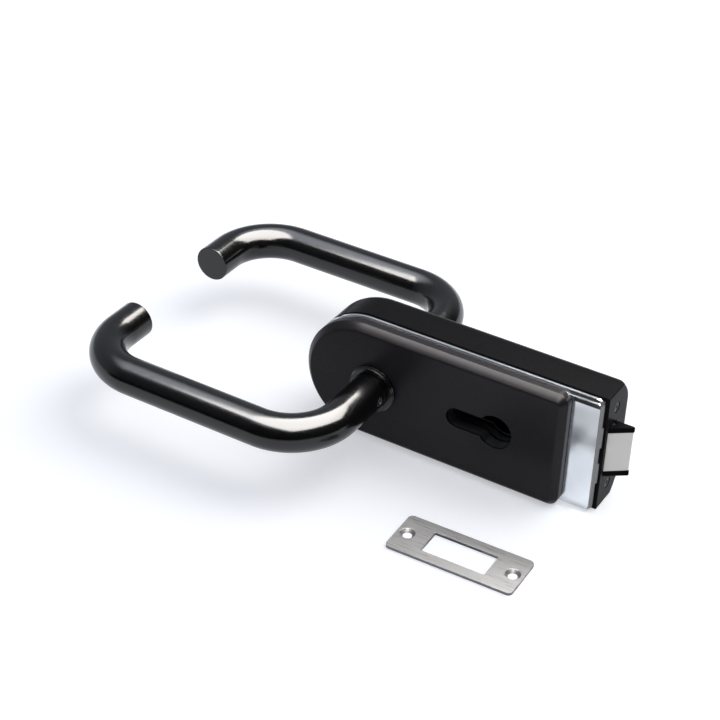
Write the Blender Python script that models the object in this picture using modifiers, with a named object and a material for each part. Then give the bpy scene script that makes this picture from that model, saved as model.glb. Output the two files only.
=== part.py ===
# Partition door lock: clamps onto a frameless glass door and is drawn standing on its long edge.
# X runs along the body to the latch, Y across the door from front to rear, Z up. Metres.

import math

import bmesh
import bpy
from mathutils import Matrix, Vector

MM = 0.001
GAP = 0.3 * MM  # left between pieces that touch
WELD = 0.02 * MM
OVERRUN = 2.0 * MM  # how far a cutter runs past what it cuts

# Body
ROUND_END_X = -8.0 * MM  # centre of the half-round end
LATCH_END_X = 117.5 * MM  # end face with the latch
ROUND_END_STEPS = 18
CORNER_STEPS = 4
BEVEL_STEPS = 3

# Front cover, its carrier and the polished base plate
COVER_SETBACK = 16.5 * MM  # of its square end, from the latch end
COVER_CORNER = 5.5 * MM
COVER_DEPTH = 7.3 * MM
COVER_WALL = 1.5 * MM
COVER_EDGE = 3.4 * MM
CARRIER_WALL = 1.5 * MM
BOSS_WALL = 1.8 * MM
PLATE_SETBACK = 2.0 * MM
PLATE_DEPTH = 3.0 * MM
PLATE_SHEET = 1.2 * MM
PLATE_EDGE = 2.8 * MM
PLATE_CORNER = 3.2 * MM
TAB_LENGTH = 32.0 * MM  # deeper stretch of the plate's end wall, at the latch
TAB_DEPTH = 1.0 * MM
TAB_NOTCH = 9.0 * MM

# Glass pads
PAD_OPENING = 1.8 * MM  # between base plate and rear cover with no glass in
FRONT_PAD_PROUD = 0.95 * MM
PAD_EDGE = 1.4 * MM

# Rear cover, case and lid
REAR_WALL = 1.8 * MM
REAR_BACK = 3.1 * MM
REAR_EDGE = 7.0 * MM
LID_RECESS = 1.2 * MM
LID_SHEET = 1.0 * MM
CASE_SHEET = 1.5 * MM
POST_RADIUS = 4.0 * MM
POST_MARGIN = 1.6 * MM  # clamp posts to the case's long walls
ROUND_POST_MARGIN = 3.4 * MM  # clamp post to the case's round wall
LID_POST_MARGIN = 2.4 * MM
LID_POST_RADIUS = 2.8 * MM
LID_POST_GAP = 0.8 * MM  # to the slide's bay
SLIDE_RIB_WIDTH = 10.0 * MM

# Levers
TUBE_RADIUS = 9.5 * MM
TUBE_WALL = 1.2 * MM
TUBE_BEND = 28.5 * MM
TUBE_BEND_STEPS = 8
TUBE_SIDES = 16
GRIP_STANDOFF = 58.5 * MM  # cover face to centre of the grip
GRIP_LENGTH = 131.5 * MM  # lever axis to centre of the return leg
FREE_END_STANDOFF = 15.5 * MM
CAP_THICKNESS = 1.2 * MM
CAP_PLUG = 5.0 * MM
COLLAR_WALL = 2.45 * MM
COLLAR_HEIGHT = 3.0 * MM
COLLAR_GROOVE = 0.6 * MM
BUSH_WALL = 1.4 * MM
SHANK_REACH = 24.0 * MM  # inside the lever, from the cover face
GRUB_OFFSET = 9.0 * MM  # grub screw from the cover face
GRUB_RADIUS = 2.5 * MM
CIRCLIP_THICKNESS = 1.0 * MM
CIRCLIP_WIDTH = 2.6 * MM
CIRCLIP_GROOVE = 0.9 * MM
CIRCLIP_OPENING = 50  # degrees, at the bottom
SPINDLE_SIDE = 8.0 * MM
SPINDLE_REACH = 13.0 * MM  # past each cover face

# Follower and its spring
HUB_RADIUS = 10.0 * MM
JOURNAL_RADIUS = 8.0 * MM
SHANK_TIP = 1.2 * MM  # rear shank, inside its circlip
ARM_REACH = 16.0 * MM
NOSE_RADIUS = 3.0 * MM
DOG_WIDTH = 4.0 * MM
DOG_REACH = 15.0 * MM
SPRING_WIRE = 0.55 * MM  # radius
SPRING_TURNS = 2
SPRING_PITCH = 1.4 * MM
SPRING_LEG = 20.0 * MM
SPRING_PIN_RADIUS = 2.0 * MM
SPRING_PIN_REACH = 17.5 * MM

# Latch
LATCH_TRAVEL = 10.5 * MM
LATCH_REACH = 9.8 * MM  # past the end face
LATCH_THICKNESS = 8.1 * MM
LATCH_HEIGHT = 28.0 * MM
LATCH_BODY = 16.0 * MM  # inside the end face
LATCH_TIP = 0.9 * MM
LATCH_MOUTH_GAP = 0.5 * MM
INSERT_HEIGHT = 22.0 * MM
INSERT_DEPTH = 4.2 * MM  # inside the end face
INSERT_PIN_RADIUS = 1.0 * MM
INSERT_PIN_INSET = 3.0 * MM  # from the latch's far side
INSERT_PIN_RECESS = 0.5 * MM  # inside the latch's ends
TONGUE_DEPTH = 8.5 * MM
SLIDE_OFFSET = 4.9 * MM  # from the latch's near side
SLIDE_SHEET = 1.6 * MM
RAIL_INNER = 14.0 * MM  # from the centre line
RAIL_OUTER = 18.5 * MM
BAR_WIDTH = 12.0 * MM
BAY_INNER = 16.2 * MM  # round the cylinder's cam
BAY_OUTER = 20.6 * MM
LUG_THICKNESS = 2.0 * MM
LUG_GAP = 0.4 * MM
ARM_GAP = 0.4 * MM  # from the latch's near side to the follower arm
RIVET_RADIUS = 1.5 * MM
LATCH_SPRING_RADIUS = 2.4 * MM  # to the wire's centre
LATCH_SPRING_WIRE = 0.4 * MM  # radius
LATCH_SPRING_TURNS = 6
LATCH_SPRING_SIDES = 8
LATCH_SPRING_CLOSED = 8.7 * MM  # room that the spring needs with the latch drawn in
SPRING_SEAT = 2.0 * MM
SPRING_BRACKET_WIDTH = 12.0 * MM
SPRING_LUG_WIDTH = 7.0 * MM

# Profile hole for the lock cylinder
CYLINDER_RADIUS = 9.0 * MM
CYLINDER_HEIGHT = 35.0 * MM
CYLINDER_SLOT = 10.6 * MM
CYLINDER_CLEARANCE = 0.5 * MM  # of the inner layers

# Screws
CLAMP_SCREW_RADIUS = 2.5 * MM
CLAMP_HEAD_RADIUS = 4.2 * MM
CLAMP_HEAD_HEIGHT = 3.4 * MM
CLAMP_SCREW_X = 28.0 * MM  # upper and lower screws near the lever
CLAMP_SCREW_SETBACK = 26.5 * MM  # upper and lower screws near the latch, from the latch end
LID_SCREW_RADIUS = 1.25 * MM
LID_SCREW_LENGTH = 8.0 * MM
LID_SCREW_OFFSET = 8.5 * MM  # from the cylinder towards the lever
LID_SCREW_ANGLE = math.radians(52)  # below the line along the body
END_SCREW_RADIUS = 1.5 * MM
END_SCREW_HEAD = 2.6 * MM
END_SCREW_LENGTH = 7.0 * MM
END_SCREW_OFFSET = 22.0 * MM  # above and below the centre line
END_SCREW_BACK = 3.0 * MM  # behind the latch's middle
END_BOSS_RADIUS = 3.0 * MM

# Strike plate
STRIKE_LENGTH = 65.0 * MM
STRIKE_WIDTH = 26.0 * MM
STRIKE_SHEET = 1.5 * MM
STRIKE_CORNER = 2.5 * MM
STRIKE_WINDOW = (32.7 * MM, 14.8 * MM)
STRIKE_SCREW_MARGIN = 5.3 * MM  # screw centre to the plate's end
STRIKE_SCREW_RADIUS = 2.2 * MM
STRIKE_WINDOW_CORNER = 1.0 * MM
STRIKE_PLACE = (79.6 * MM, -70.8 * MM)
STRIKE_TURN = math.radians(1.5)

# Places that follow from the sizes
SHANK_RADIUS = TUBE_RADIUS - TUBE_WALL - GAP
SPRING_BAY = 3 * GAP + 2 * SPRING_WIRE + SPRING_TURNS * SPRING_PITCH
HUB_BACK_GAP = 3 * GAP + SHANK_TIP + CIRCLIP_THICKNESS
CASE_DEPTH = GAP + SLIDE_OFFSET + SLIDE_SHEET + SPRING_BAY + HUB_BACK_GAP
FRONT_DEPTH = COVER_DEPTH + GAP + PLATE_DEPTH
REAR_DEPTH = LID_RECESS + LID_SHEET + GAP + CASE_DEPTH + CASE_SHEET + GAP + REAR_BACK
STACK_DEPTH = FRONT_DEPTH + PAD_OPENING + REAR_DEPTH  # 34.5 mm from cover face to cover face
CASE_INSET = REAR_WALL + GAP
CASE_INNER_INSET = CASE_INSET + CASE_SHEET
CLAMP_POST_OFFSET = RAIL_OUTER + GAP + POST_RADIUS
LID_POST_OFFSET = BAY_OUTER + LID_POST_GAP + LID_POST_RADIUS
AXIS_Z = CLAMP_POST_OFFSET + POST_RADIUS + POST_MARGIN + CASE_INNER_INSET
BODY_HEIGHT = 2 * AXIS_Z  # 64 mm
CLAMP_ROUND_END = AXIS_Z - CASE_INNER_INSET - ROUND_POST_MARGIN - POST_RADIUS
LID_SCREW_ROUND_END = AXIS_Z - CASE_INNER_INSET - LID_POST_MARGIN - LID_POST_RADIUS
FRONT_Y = -STACK_DEPTH / 2
COVER_BACK_Y = FRONT_Y + COVER_DEPTH
PLATE_Y = COVER_BACK_Y + GAP
PLATE_BACK_Y = PLATE_Y + PLATE_DEPTH
REAR_FRONT_Y = PLATE_BACK_Y + PAD_OPENING
REAR_Y = STACK_DEPTH / 2
LID_Y = REAR_FRONT_Y + LID_RECESS
CASE_Y = LID_Y + LID_SHEET + GAP
CASE_BACK_Y = REAR_Y - REAR_BACK - GAP
CASE_FLOOR_Y = CASE_BACK_Y - CASE_SHEET
CARRIER_BACK_Y = COVER_BACK_Y - CARRIER_WALL
LATCH_Y = CASE_Y + GAP
LATCH_FAR_Y = LATCH_Y + LATCH_THICKNESS
SLIDE_Y = LATCH_Y + SLIDE_OFFSET
SLIDE_BACK_Y = SLIDE_Y + SLIDE_SHEET
HUB_BACK_Y = CASE_FLOOR_Y - HUB_BACK_GAP
CARRIER_INSET = COVER_WALL + GAP
PAD_INSET = PLATE_SHEET + GAP
CASE_END_X = LATCH_END_X - CASE_INSET
COVER_END_X = LATCH_END_X - COVER_SETBACK
PLATE_END_X = LATCH_END_X - PLATE_SETBACK
BUSH_RADIUS = TUBE_RADIUS + GAP + BUSH_WALL
COLLAR_RADIUS = TUBE_RADIUS + GAP + COLLAR_WALL
LATCH_BACK_X = LATCH_END_X - LATCH_BODY
TONGUE_X = LATCH_BACK_X + TONGUE_DEPTH
BAR_X = LATCH_BACK_X - GAP - BAR_WIDTH
SPRING_LUG_X = LATCH_BACK_X - GAP - LUG_THICKNESS - MM
SPRING_SEAT_X = SPRING_LUG_X - LATCH_TRAVEL - LATCH_SPRING_CLOSED
CYLINDER_X = SPRING_SEAT_X - SPRING_SEAT - 3 * CYLINDER_CLEARANCE - CYLINDER_RADIUS  # 66.5 mm
STRIKE_SCREW_SPACING = STRIKE_LENGTH - 2 * STRIKE_SCREW_MARGIN
LUG_X = -NOSE_RADIUS - LUG_GAP
CLAMP_PLACES = [(ROUND_END_X - CLAMP_ROUND_END, AXIS_Z)] + [
    (x, AXIS_Z + side * CLAMP_POST_OFFSET)
    for x in (CLAMP_SCREW_X, LATCH_END_X - CLAMP_SCREW_SETBACK)
    for side in (1, -1)
]
LID_PLACES = [
    (CYLINDER_X - LID_SCREW_OFFSET, AXIS_Z + side * LID_POST_OFFSET) for side in (1, -1)
] + [
    (
        ROUND_END_X - LID_SCREW_ROUND_END * math.cos(LID_SCREW_ANGLE),
        AXIS_Z - LID_SCREW_ROUND_END * math.sin(LID_SCREW_ANGLE),
    )
]


def clear_scene():
    for item in list(bpy.data.objects):
        bpy.data.objects.remove(item, do_unlink=True)


def new_group(name):
    group = bpy.data.collections.new(name)
    bpy.context.scene.collection.children.link(group)
    return group


def new_paint(name, colour, roughness, metallic):
    paint = bpy.data.materials.new(name)
    paint.use_nodes = True
    surface = paint.node_tree.nodes["Principled BSDF"]
    surface.inputs["Base Color"].default_value = (*colour, 1.0)
    surface.inputs["Roughness"].default_value = roughness
    surface.inputs["Metallic"].default_value = metallic
    return paint


clear_scene()
PART = new_group("partition_door_lock")
CUTTERS = new_group("cutters")
BLACK_COAT = new_paint("black_coat", (0.022, 0.021, 0.023), 0.4, 0.0)
POLISHED = new_paint("polished_steel", (0.72, 0.73, 0.74), 0.12, 1.0)
SATIN = new_paint("satin_steel", (0.45, 0.45, 0.45), 0.35, 1.0)
ZINC = new_paint("zinc_plate", (0.52, 0.54, 0.56), 0.4, 1.0)
SPRING_STEEL = new_paint("spring_steel", (0.35, 0.36, 0.38), 0.3, 1.0)
BLACK_PLASTIC = new_paint("black_plastic", (0.03, 0.03, 0.03), 0.5, 0.0)
RUBBER = new_paint("rubber", (0.015, 0.015, 0.015), 0.8, 0.0)
GREY_PLASTIC = new_paint("grey_plastic", (0.52, 0.51, 0.49), 0.4, 0.0)


def arc(centre_x, centre_z, radius, start, end, steps):
    angles = [math.radians(start + (end - start) * i / steps) for i in range(steps + 1)]
    return [(centre_x + radius * math.cos(a), centre_z + radius * math.sin(a)) for a in angles]


def body_outline(end_x, corner=0.0, inset=0.0):
    # half round at the lever end, square with rounded corners at the latch end
    low, high, right = inset, BODY_HEIGHT - inset, end_x - inset
    points = arc(ROUND_END_X, AXIS_Z, AXIS_Z - inset, 90, 270, ROUND_END_STEPS)
    if corner <= inset:
        return points + [(right, low), (right, high)]
    r = corner - inset
    points += arc(right - r, low + r, r, 270, 360, CORNER_STEPS)
    points += arc(right - r, high - r, r, 0, 90, CORNER_STEPS)
    return points


def cylinder_outline(grow=0.0):
    # round for the plug, slot for the cylinder's web with its round end
    radius = CYLINDER_RADIUS + grow
    half_slot = CYLINDER_SLOT / 2 + grow
    meet = math.degrees(math.asin(half_slot / radius))
    end_x = CYLINDER_X + CYLINDER_RADIUS - CYLINDER_HEIGHT + CYLINDER_SLOT / 2
    points = arc(CYLINDER_X, AXIS_Z, radius, meet - 180, 180 - meet, 14)
    return points + arc(end_x, AXIS_Z, half_slot, 90, 270, 6)


def rounded_box_outline(x0, x1, z0, z1, radius):
    points = arc(x0 + radius, z0 + radius, radius, 180, 270, 4)
    points += arc(x1 - radius, z0 + radius, radius, 270, 360, 4)
    points += arc(x1 - radius, z1 - radius, radius, 0, 90, 4)
    return points + arc(x0 + radius, z1 - radius, radius, 90, 180, 4)


def shade(mesh):
    mesh.shade_smooth()
    mesh.set_sharp_from_angle(angle=math.radians(32))


def mesh_from_curve(item, group):
    # a curve's evaluated shape as a closed mesh in its place
    bpy.context.view_layer.update()
    name, curve = item.name, item.data
    mesh = bpy.data.meshes.new_from_object(item.evaluated_get(bpy.context.evaluated_depsgraph_get()))
    place = item.matrix_world.copy()
    bpy.data.objects.remove(item, do_unlink=True)
    bpy.data.curves.remove(curve)
    solid = bpy.data.objects.new(name, mesh)
    solid.matrix_world = place
    group.objects.link(solid)
    shape = bmesh.new()
    shape.from_mesh(mesh)
    bmesh.ops.remove_doubles(shape, verts=shape.verts, dist=WELD)
    shape.to_mesh(mesh)
    shape.free()
    return solid


def finish(item, group, paint, name=None):
    if name:
        item.name = name
    if group is CUTTERS:
        item.hide_render = True
        item.display_type = "WIRE"
    if item.data.materials:
        item.data.materials[0] = paint
    elif paint:
        item.data.materials.append(paint)
    shade(item.data)
    return item


def move_to(item, group):
    for holder in list(item.users_collection):
        holder.objects.unlink(item)
    group.objects.link(item)


def flat_solid(name, outline, near, far, group, paint=None, upright=True, round_near=0.0,
               round_far=0.0, origin=(0.0, 0.0)):
    # an outline in XZ given depth along Y, or in XY given height along Z
    curve = bpy.data.curves.new(name, "CURVE")
    curve.dimensions = "2D"
    curve.fill_mode = "BOTH"
    curve.extrude = (far - near) / 2
    spline = curve.splines.new("POLY")
    spline.points.add(len(outline) - 1)
    for point, (u, v) in zip(spline.points, outline):
        point.co = (u - origin[0], v - origin[1], 0.0, 1.0)
    spline.use_cyclic_u = True
    item = bpy.data.objects.new(name, curve)
    middle = (near + far) / 2
    item.location = (origin[0], middle, origin[1]) if upright else (origin[0], origin[1], middle)
    item.rotation_euler = (math.radians(90) if upright else 0.0, 0.0, 0.0)
    group.objects.link(item)
    solid = mesh_from_curve(item, group)
    if not round_near and not round_far:
        return finish(solid, group, paint)
    shape = bmesh.new()
    shape.from_mesh(solid.data)
    bmesh.ops.dissolve_limit(shape, angle_limit=math.radians(1), verts=shape.verts, edges=shape.edges)
    near_side = 1 if upright else -1
    for radius, side in ((round_near, near_side), (round_far, -near_side)):
        level = side * (far - near) / 2
        rim = [e for e in shape.edges if all(abs(v.co.z - level) < WELD for v in e.verts)]
        if radius:
            bmesh.ops.bevel(shape, geom=rim, offset=radius, segments=BEVEL_STEPS, profile=0.5,
                            affect="EDGES", clamp_overlap=False)
    shape.to_mesh(solid.data)
    shape.free()
    return finish(solid, group, paint)


def trim(item, limit_x):
    # cut square across at x = limit_x, keeping the lower side
    place = item.matrix_world.inverted() @ Vector((limit_x, 0.0, 0.0))
    shape = bmesh.new()
    shape.from_mesh(item.data)
    geometry = shape.verts[:] + shape.edges[:] + shape.faces[:]
    cut_edges = bmesh.ops.bisect_plane(shape, geom=geometry, dist=WELD / 10, plane_co=place,
                                       plane_no=(1.0, 0.0, 0.0), clear_outer=True)["geom_cut"]
    rim = [e for e in cut_edges if isinstance(e, bmesh.types.BMEdge)]
    bmesh.ops.contextual_create(shape, geom=rim)
    shape.to_mesh(item.data)
    shape.free()
    shade(item.data)
    return item


def block(name, low, high, group, paint=None, origin=None):
    low, high = Vector(low), Vector(high)
    middle = (low + high) / 2
    origin = Vector(origin) if origin else middle
    bpy.ops.mesh.primitive_cube_add(size=1.0, location=origin)
    item = bpy.context.object
    move_to(item, group)
    item.data.transform(Matrix.Translation(middle - origin) @ Matrix.Diagonal((*(high - low), 1.0)))
    return finish(item, group, paint, name)


def rod(name, radius, base, along, length, group, paint=None, sides=16):
    direction = Vector(along)
    bpy.ops.mesh.primitive_cylinder_add(vertices=sides, radius=radius, depth=length)
    item = bpy.context.object
    move_to(item, group)
    item.location = Vector(base) + direction * length / 2
    item.rotation_euler = direction.to_track_quat("Z", "Y").to_euler()
    return finish(item, group, paint, name)


def turned(name, profile, base, along, group, paint=None, steps=24, ring=False):
    # profile of (radius, height) points, outer side from top to bottom
    mesh = bpy.data.meshes.new(name)
    count = len(profile)
    edges = [(i, i + 1) for i in range(count - 1)] + ([(count - 1, 0)] if ring else [])
    mesh.from_pydata([(radius, 0.0, height) for radius, height in profile], edges, [])
    item = bpy.data.objects.new(name, mesh)
    item.location = base
    item.rotation_euler = Vector(along).to_track_quat("Z", "Y").to_euler()
    group.objects.link(item)
    screw = item.modifiers.new("turn", "SCREW")
    screw.axis = "Z"
    screw.steps = steps
    screw.render_steps = steps
    screw.use_merge_vertices = True
    screw.merge_threshold = WELD
    return finish(item, group, paint)


def ring(name, inner, outer, base, along, length, group, paint, steps=32):
    profile = [(outer, length), (outer, 0.0), (inner, 0.0), (inner, length)]
    return turned(name, profile, base, along, group, paint, steps, ring=True)


def wire(name, points, radius, group, paint=None, resolution=2):
    curve = bpy.data.curves.new(name, "CURVE")
    curve.dimensions = "3D"
    curve.bevel_depth = radius
    curve.bevel_resolution = resolution
    curve.use_fill_caps = True
    spline = curve.splines.new("POLY")
    spline.points.add(len(points) - 1)
    for point, place in zip(spline.points, points):
        point.co = (*place, 1.0)
    item = bpy.data.objects.new(name, curve)
    group.objects.link(item)
    return finish(mesh_from_curve(item, group), group, paint)


def boolean(item, operation, others):
    for other in others:
        step = item.modifiers.new(other.name, "BOOLEAN")
        step.operation = operation
        step.object = other
        step.solver = "EXACT"


def cut(item, *cutters):
    boolean(item, "DIFFERENCE", cutters)


def join(item, *additions):
    boolean(item, "UNION", additions)


def cylinder_cutter(name, near, far, grow=0.0):
    return flat_solid(name, cylinder_outline(grow), near - OVERRUN, far + OVERRUN, CUTTERS)


def axis_cutter(name, radius, near, far):
    base = (0.0, near - OVERRUN, AXIS_Z)
    return rod(name, radius, base, (0, 1, 0), far - near + 2 * OVERRUN, CUTTERS, sides=24)


def screw_holes(name, places, radius, near, far):
    holes = []
    for number, (x, z) in enumerate(places, 1):
        base = (x, near - OVERRUN, z)
        depth = far - near + 2 * OVERRUN
        holes.append(rod(f"{name}_{number}", radius, base, (0, 1, 0), depth, CUTTERS, sides=12))
    return holes


def make_front_cover():
    outline = body_outline(COVER_END_X, COVER_CORNER)
    cover = flat_solid("front_cover", outline, FRONT_Y, COVER_BACK_Y, PART, BLACK_COAT,
                       round_near=COVER_EDGE)
    inner = body_outline(COVER_END_X, COVER_CORNER, COVER_WALL)
    hollow = flat_solid("cover_hollow", inner, FRONT_Y + COVER_WALL, COVER_BACK_Y + OVERRUN, CUTTERS,
                        round_near=COVER_EDGE - COVER_WALL)
    cut(cover, hollow, cylinder_cutter("cover_cylinder", FRONT_Y, COVER_BACK_Y),
        axis_cutter("cover_bore", BUSH_RADIUS + GAP, FRONT_Y, COVER_BACK_Y))


def make_cover_carrier():
    # frame that the front cover snaps onto, with the lever bearing and the screw seats
    front_y = FRONT_Y + CARRIER_INSET
    outline = body_outline(COVER_END_X, COVER_CORNER, CARRIER_INSET)
    carrier = flat_solid("cover_carrier", outline, front_y, COVER_BACK_Y, PART, ZINC,
                         round_near=COVER_EDGE - CARRIER_INSET)
    inner = body_outline(COVER_END_X, COVER_CORNER, CARRIER_INSET + CARRIER_WALL)
    hollow = flat_solid("carrier_hollow", inner, front_y - OVERRUN, CARRIER_BACK_Y, CUTTERS)
    cut(carrier, hollow)
    floor_y = CARRIER_BACK_Y + CARRIER_WALL / 2
    boss_radius = BUSH_RADIUS + GAP + BOSS_WALL
    depth = floor_y - front_y
    bosses = [rod("bearing_boss", boss_radius, (0.0, front_y, AXIS_Z), (0, 1, 0), depth, CUTTERS)]
    for number, (x, z) in enumerate(CLAMP_PLACES, 1):
        radius = CLAMP_HEAD_RADIUS + GAP + BOSS_WALL
        bosses.append(rod(f"seat_boss_{number}", radius, (x, front_y, z), (0, 1, 0), depth, CUTTERS))
    bosses.append(flat_solid("cylinder_wall", cylinder_outline(CYLINDER_CLEARANCE + BOSS_WALL),
                             front_y, floor_y, CUTTERS))
    join(carrier, *bosses)
    cut(carrier, axis_cutter("carrier_bore", BUSH_RADIUS + GAP, front_y, COVER_BACK_Y),
        cylinder_cutter("carrier_cylinder", front_y, COVER_BACK_Y, CYLINDER_CLEARANCE),
        *screw_holes("carrier_hole", CLAMP_PLACES, CLAMP_SCREW_RADIUS + GAP, front_y, COVER_BACK_Y))
    for number, (x, z) in enumerate(CLAMP_PLACES, 1):
        base = (x, front_y - OVERRUN, z)
        depth = CARRIER_BACK_Y - front_y + OVERRUN
        cut(carrier, rod(f"head_seat_{number}", CLAMP_HEAD_RADIUS + GAP, base, (0, 1, 0), depth, CUTTERS))


def make_base_plate():
    # pressed tray, polished, whose end wall is deeper beside the latch
    outline = body_outline(PLATE_END_X, PLATE_CORNER)
    plate = flat_solid("base_plate", outline, PLATE_Y, PLATE_BACK_Y, PART, POLISHED,
                       round_near=PLATE_EDGE)
    inner = body_outline(PLATE_END_X, PLATE_CORNER, PLATE_SHEET)
    hollow = flat_solid("plate_hollow", inner, PLATE_Y + PLATE_SHEET, PLATE_BACK_Y + OVERRUN, CUTTERS,
                        round_near=PLATE_EDGE - PLATE_SHEET)
    cut(plate, hollow)
    for name, side in (("tab_upper", 1), ("tab_lower", -1)):
        ends = sorted((AXIS_Z + side * TAB_NOTCH / 2, AXIS_Z + side * TAB_LENGTH / 2))
        low = (PLATE_END_X - PLATE_SHEET, PLATE_BACK_Y - PLATE_SHEET / 4, ends[0])
        high = (PLATE_END_X, PLATE_BACK_Y + TAB_DEPTH, ends[1])
        join(plate, block(name, low, high, CUTTERS))
    cut(plate, axis_cutter("plate_bore", SHANK_RADIUS + GAP, PLATE_Y, PLATE_Y + PLATE_SHEET),
        cylinder_cutter("plate_cylinder", PLATE_Y, PLATE_Y + PLATE_SHEET, CYLINDER_CLEARANCE),
        *screw_holes("plate_hole", CLAMP_PLACES, CLAMP_SCREW_RADIUS + GAP, PLATE_Y, PLATE_Y + PLATE_SHEET))


def make_glass_pad(name, near, far, inset, end_x, corner, edge):
    outline = body_outline(end_x, corner, inset)
    pad = flat_solid(name, outline, near, far, PART, RUBBER, round_near=edge)
    bore = SHANK_RADIUS - CIRCLIP_GROOVE + CIRCLIP_WIDTH + 2 * GAP
    cut(pad, axis_cutter(name + "_bore", bore, near, far),
        cylinder_cutter(name + "_cylinder", near, far, 2 * CYLINDER_CLEARANCE),
        *screw_holes(name + "_hole", CLAMP_PLACES, CLAMP_SCREW_RADIUS + GAP, near, far))
    return pad


def make_glass_pads():
    near = PLATE_Y + PLATE_SHEET + GAP
    far = PLATE_BACK_Y + FRONT_PAD_PROUD
    make_glass_pad("front_glass_pad", near, far, PAD_INSET, PLATE_END_X, PLATE_CORNER, PAD_EDGE)
    pad = bpy.data.objects["front_glass_pad"]
    low = (PLATE_END_X - PAD_INSET - TAB_DEPTH, PLATE_BACK_Y, AXIS_Z - TAB_LENGTH / 2 - GAP)
    high = (PLATE_END_X, far + OVERRUN, AXIS_Z + TAB_LENGTH / 2 + GAP)
    cut(pad, block("pad_relief", low, high, CUTTERS))
    make_glass_pad("rear_glass_pad", far + GAP, LID_Y - GAP, CASE_INSET, LATCH_END_X, 0.0, 0.0)


def make_case_lid():
    outline = body_outline(LATCH_END_X, 0.0, CASE_INSET)
    lid = flat_solid("case_lid", outline, LID_Y, LID_Y + LID_SHEET, PART, ZINC)
    far = LID_Y + LID_SHEET
    cut(lid, axis_cutter("lid_bore", JOURNAL_RADIUS + GAP, LID_Y, far),
        cylinder_cutter("lid_cylinder", LID_Y, far, CYLINDER_CLEARANCE),
        *screw_holes("lid_clamp_hole", CLAMP_PLACES, CLAMP_SCREW_RADIUS + GAP, LID_Y, far),
        *screw_holes("lid_hole", LID_PLACES, LID_SCREW_RADIUS + GAP, LID_Y, far))
    for number, (x, z) in enumerate(LID_PLACES, 1):
        sink = LID_SCREW_RADIUS + GAP + LID_SHEET
        profile = [(0.0, OVERRUN), (sink + OVERRUN, OVERRUN), (LID_SCREW_RADIUS + GAP, -LID_SHEET),
                   (0.0, -LID_SHEET)]
        cut(lid, turned(f"lid_sink_{number}", profile, (x, LID_Y, z), (0, -1, 0), CUTTERS, steps=12))


def mouth_cutter(name, near):
    half = LATCH_HEIGHT / 2 + LATCH_MOUTH_GAP
    low = (LATCH_END_X - LATCH_BODY / 2, near, AXIS_Z - half)
    high = (LATCH_END_X + OVERRUN, LATCH_FAR_Y + LATCH_MOUTH_GAP, AXIS_Z + half)
    return block(name, low, high, CUTTERS)


def end_screw_places():
    y = (LATCH_Y + LATCH_FAR_Y) / 2 + END_SCREW_BACK
    return [("upper", y, AXIS_Z + END_SCREW_OFFSET), ("lower", y, AXIS_Z - END_SCREW_OFFSET)]


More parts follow.
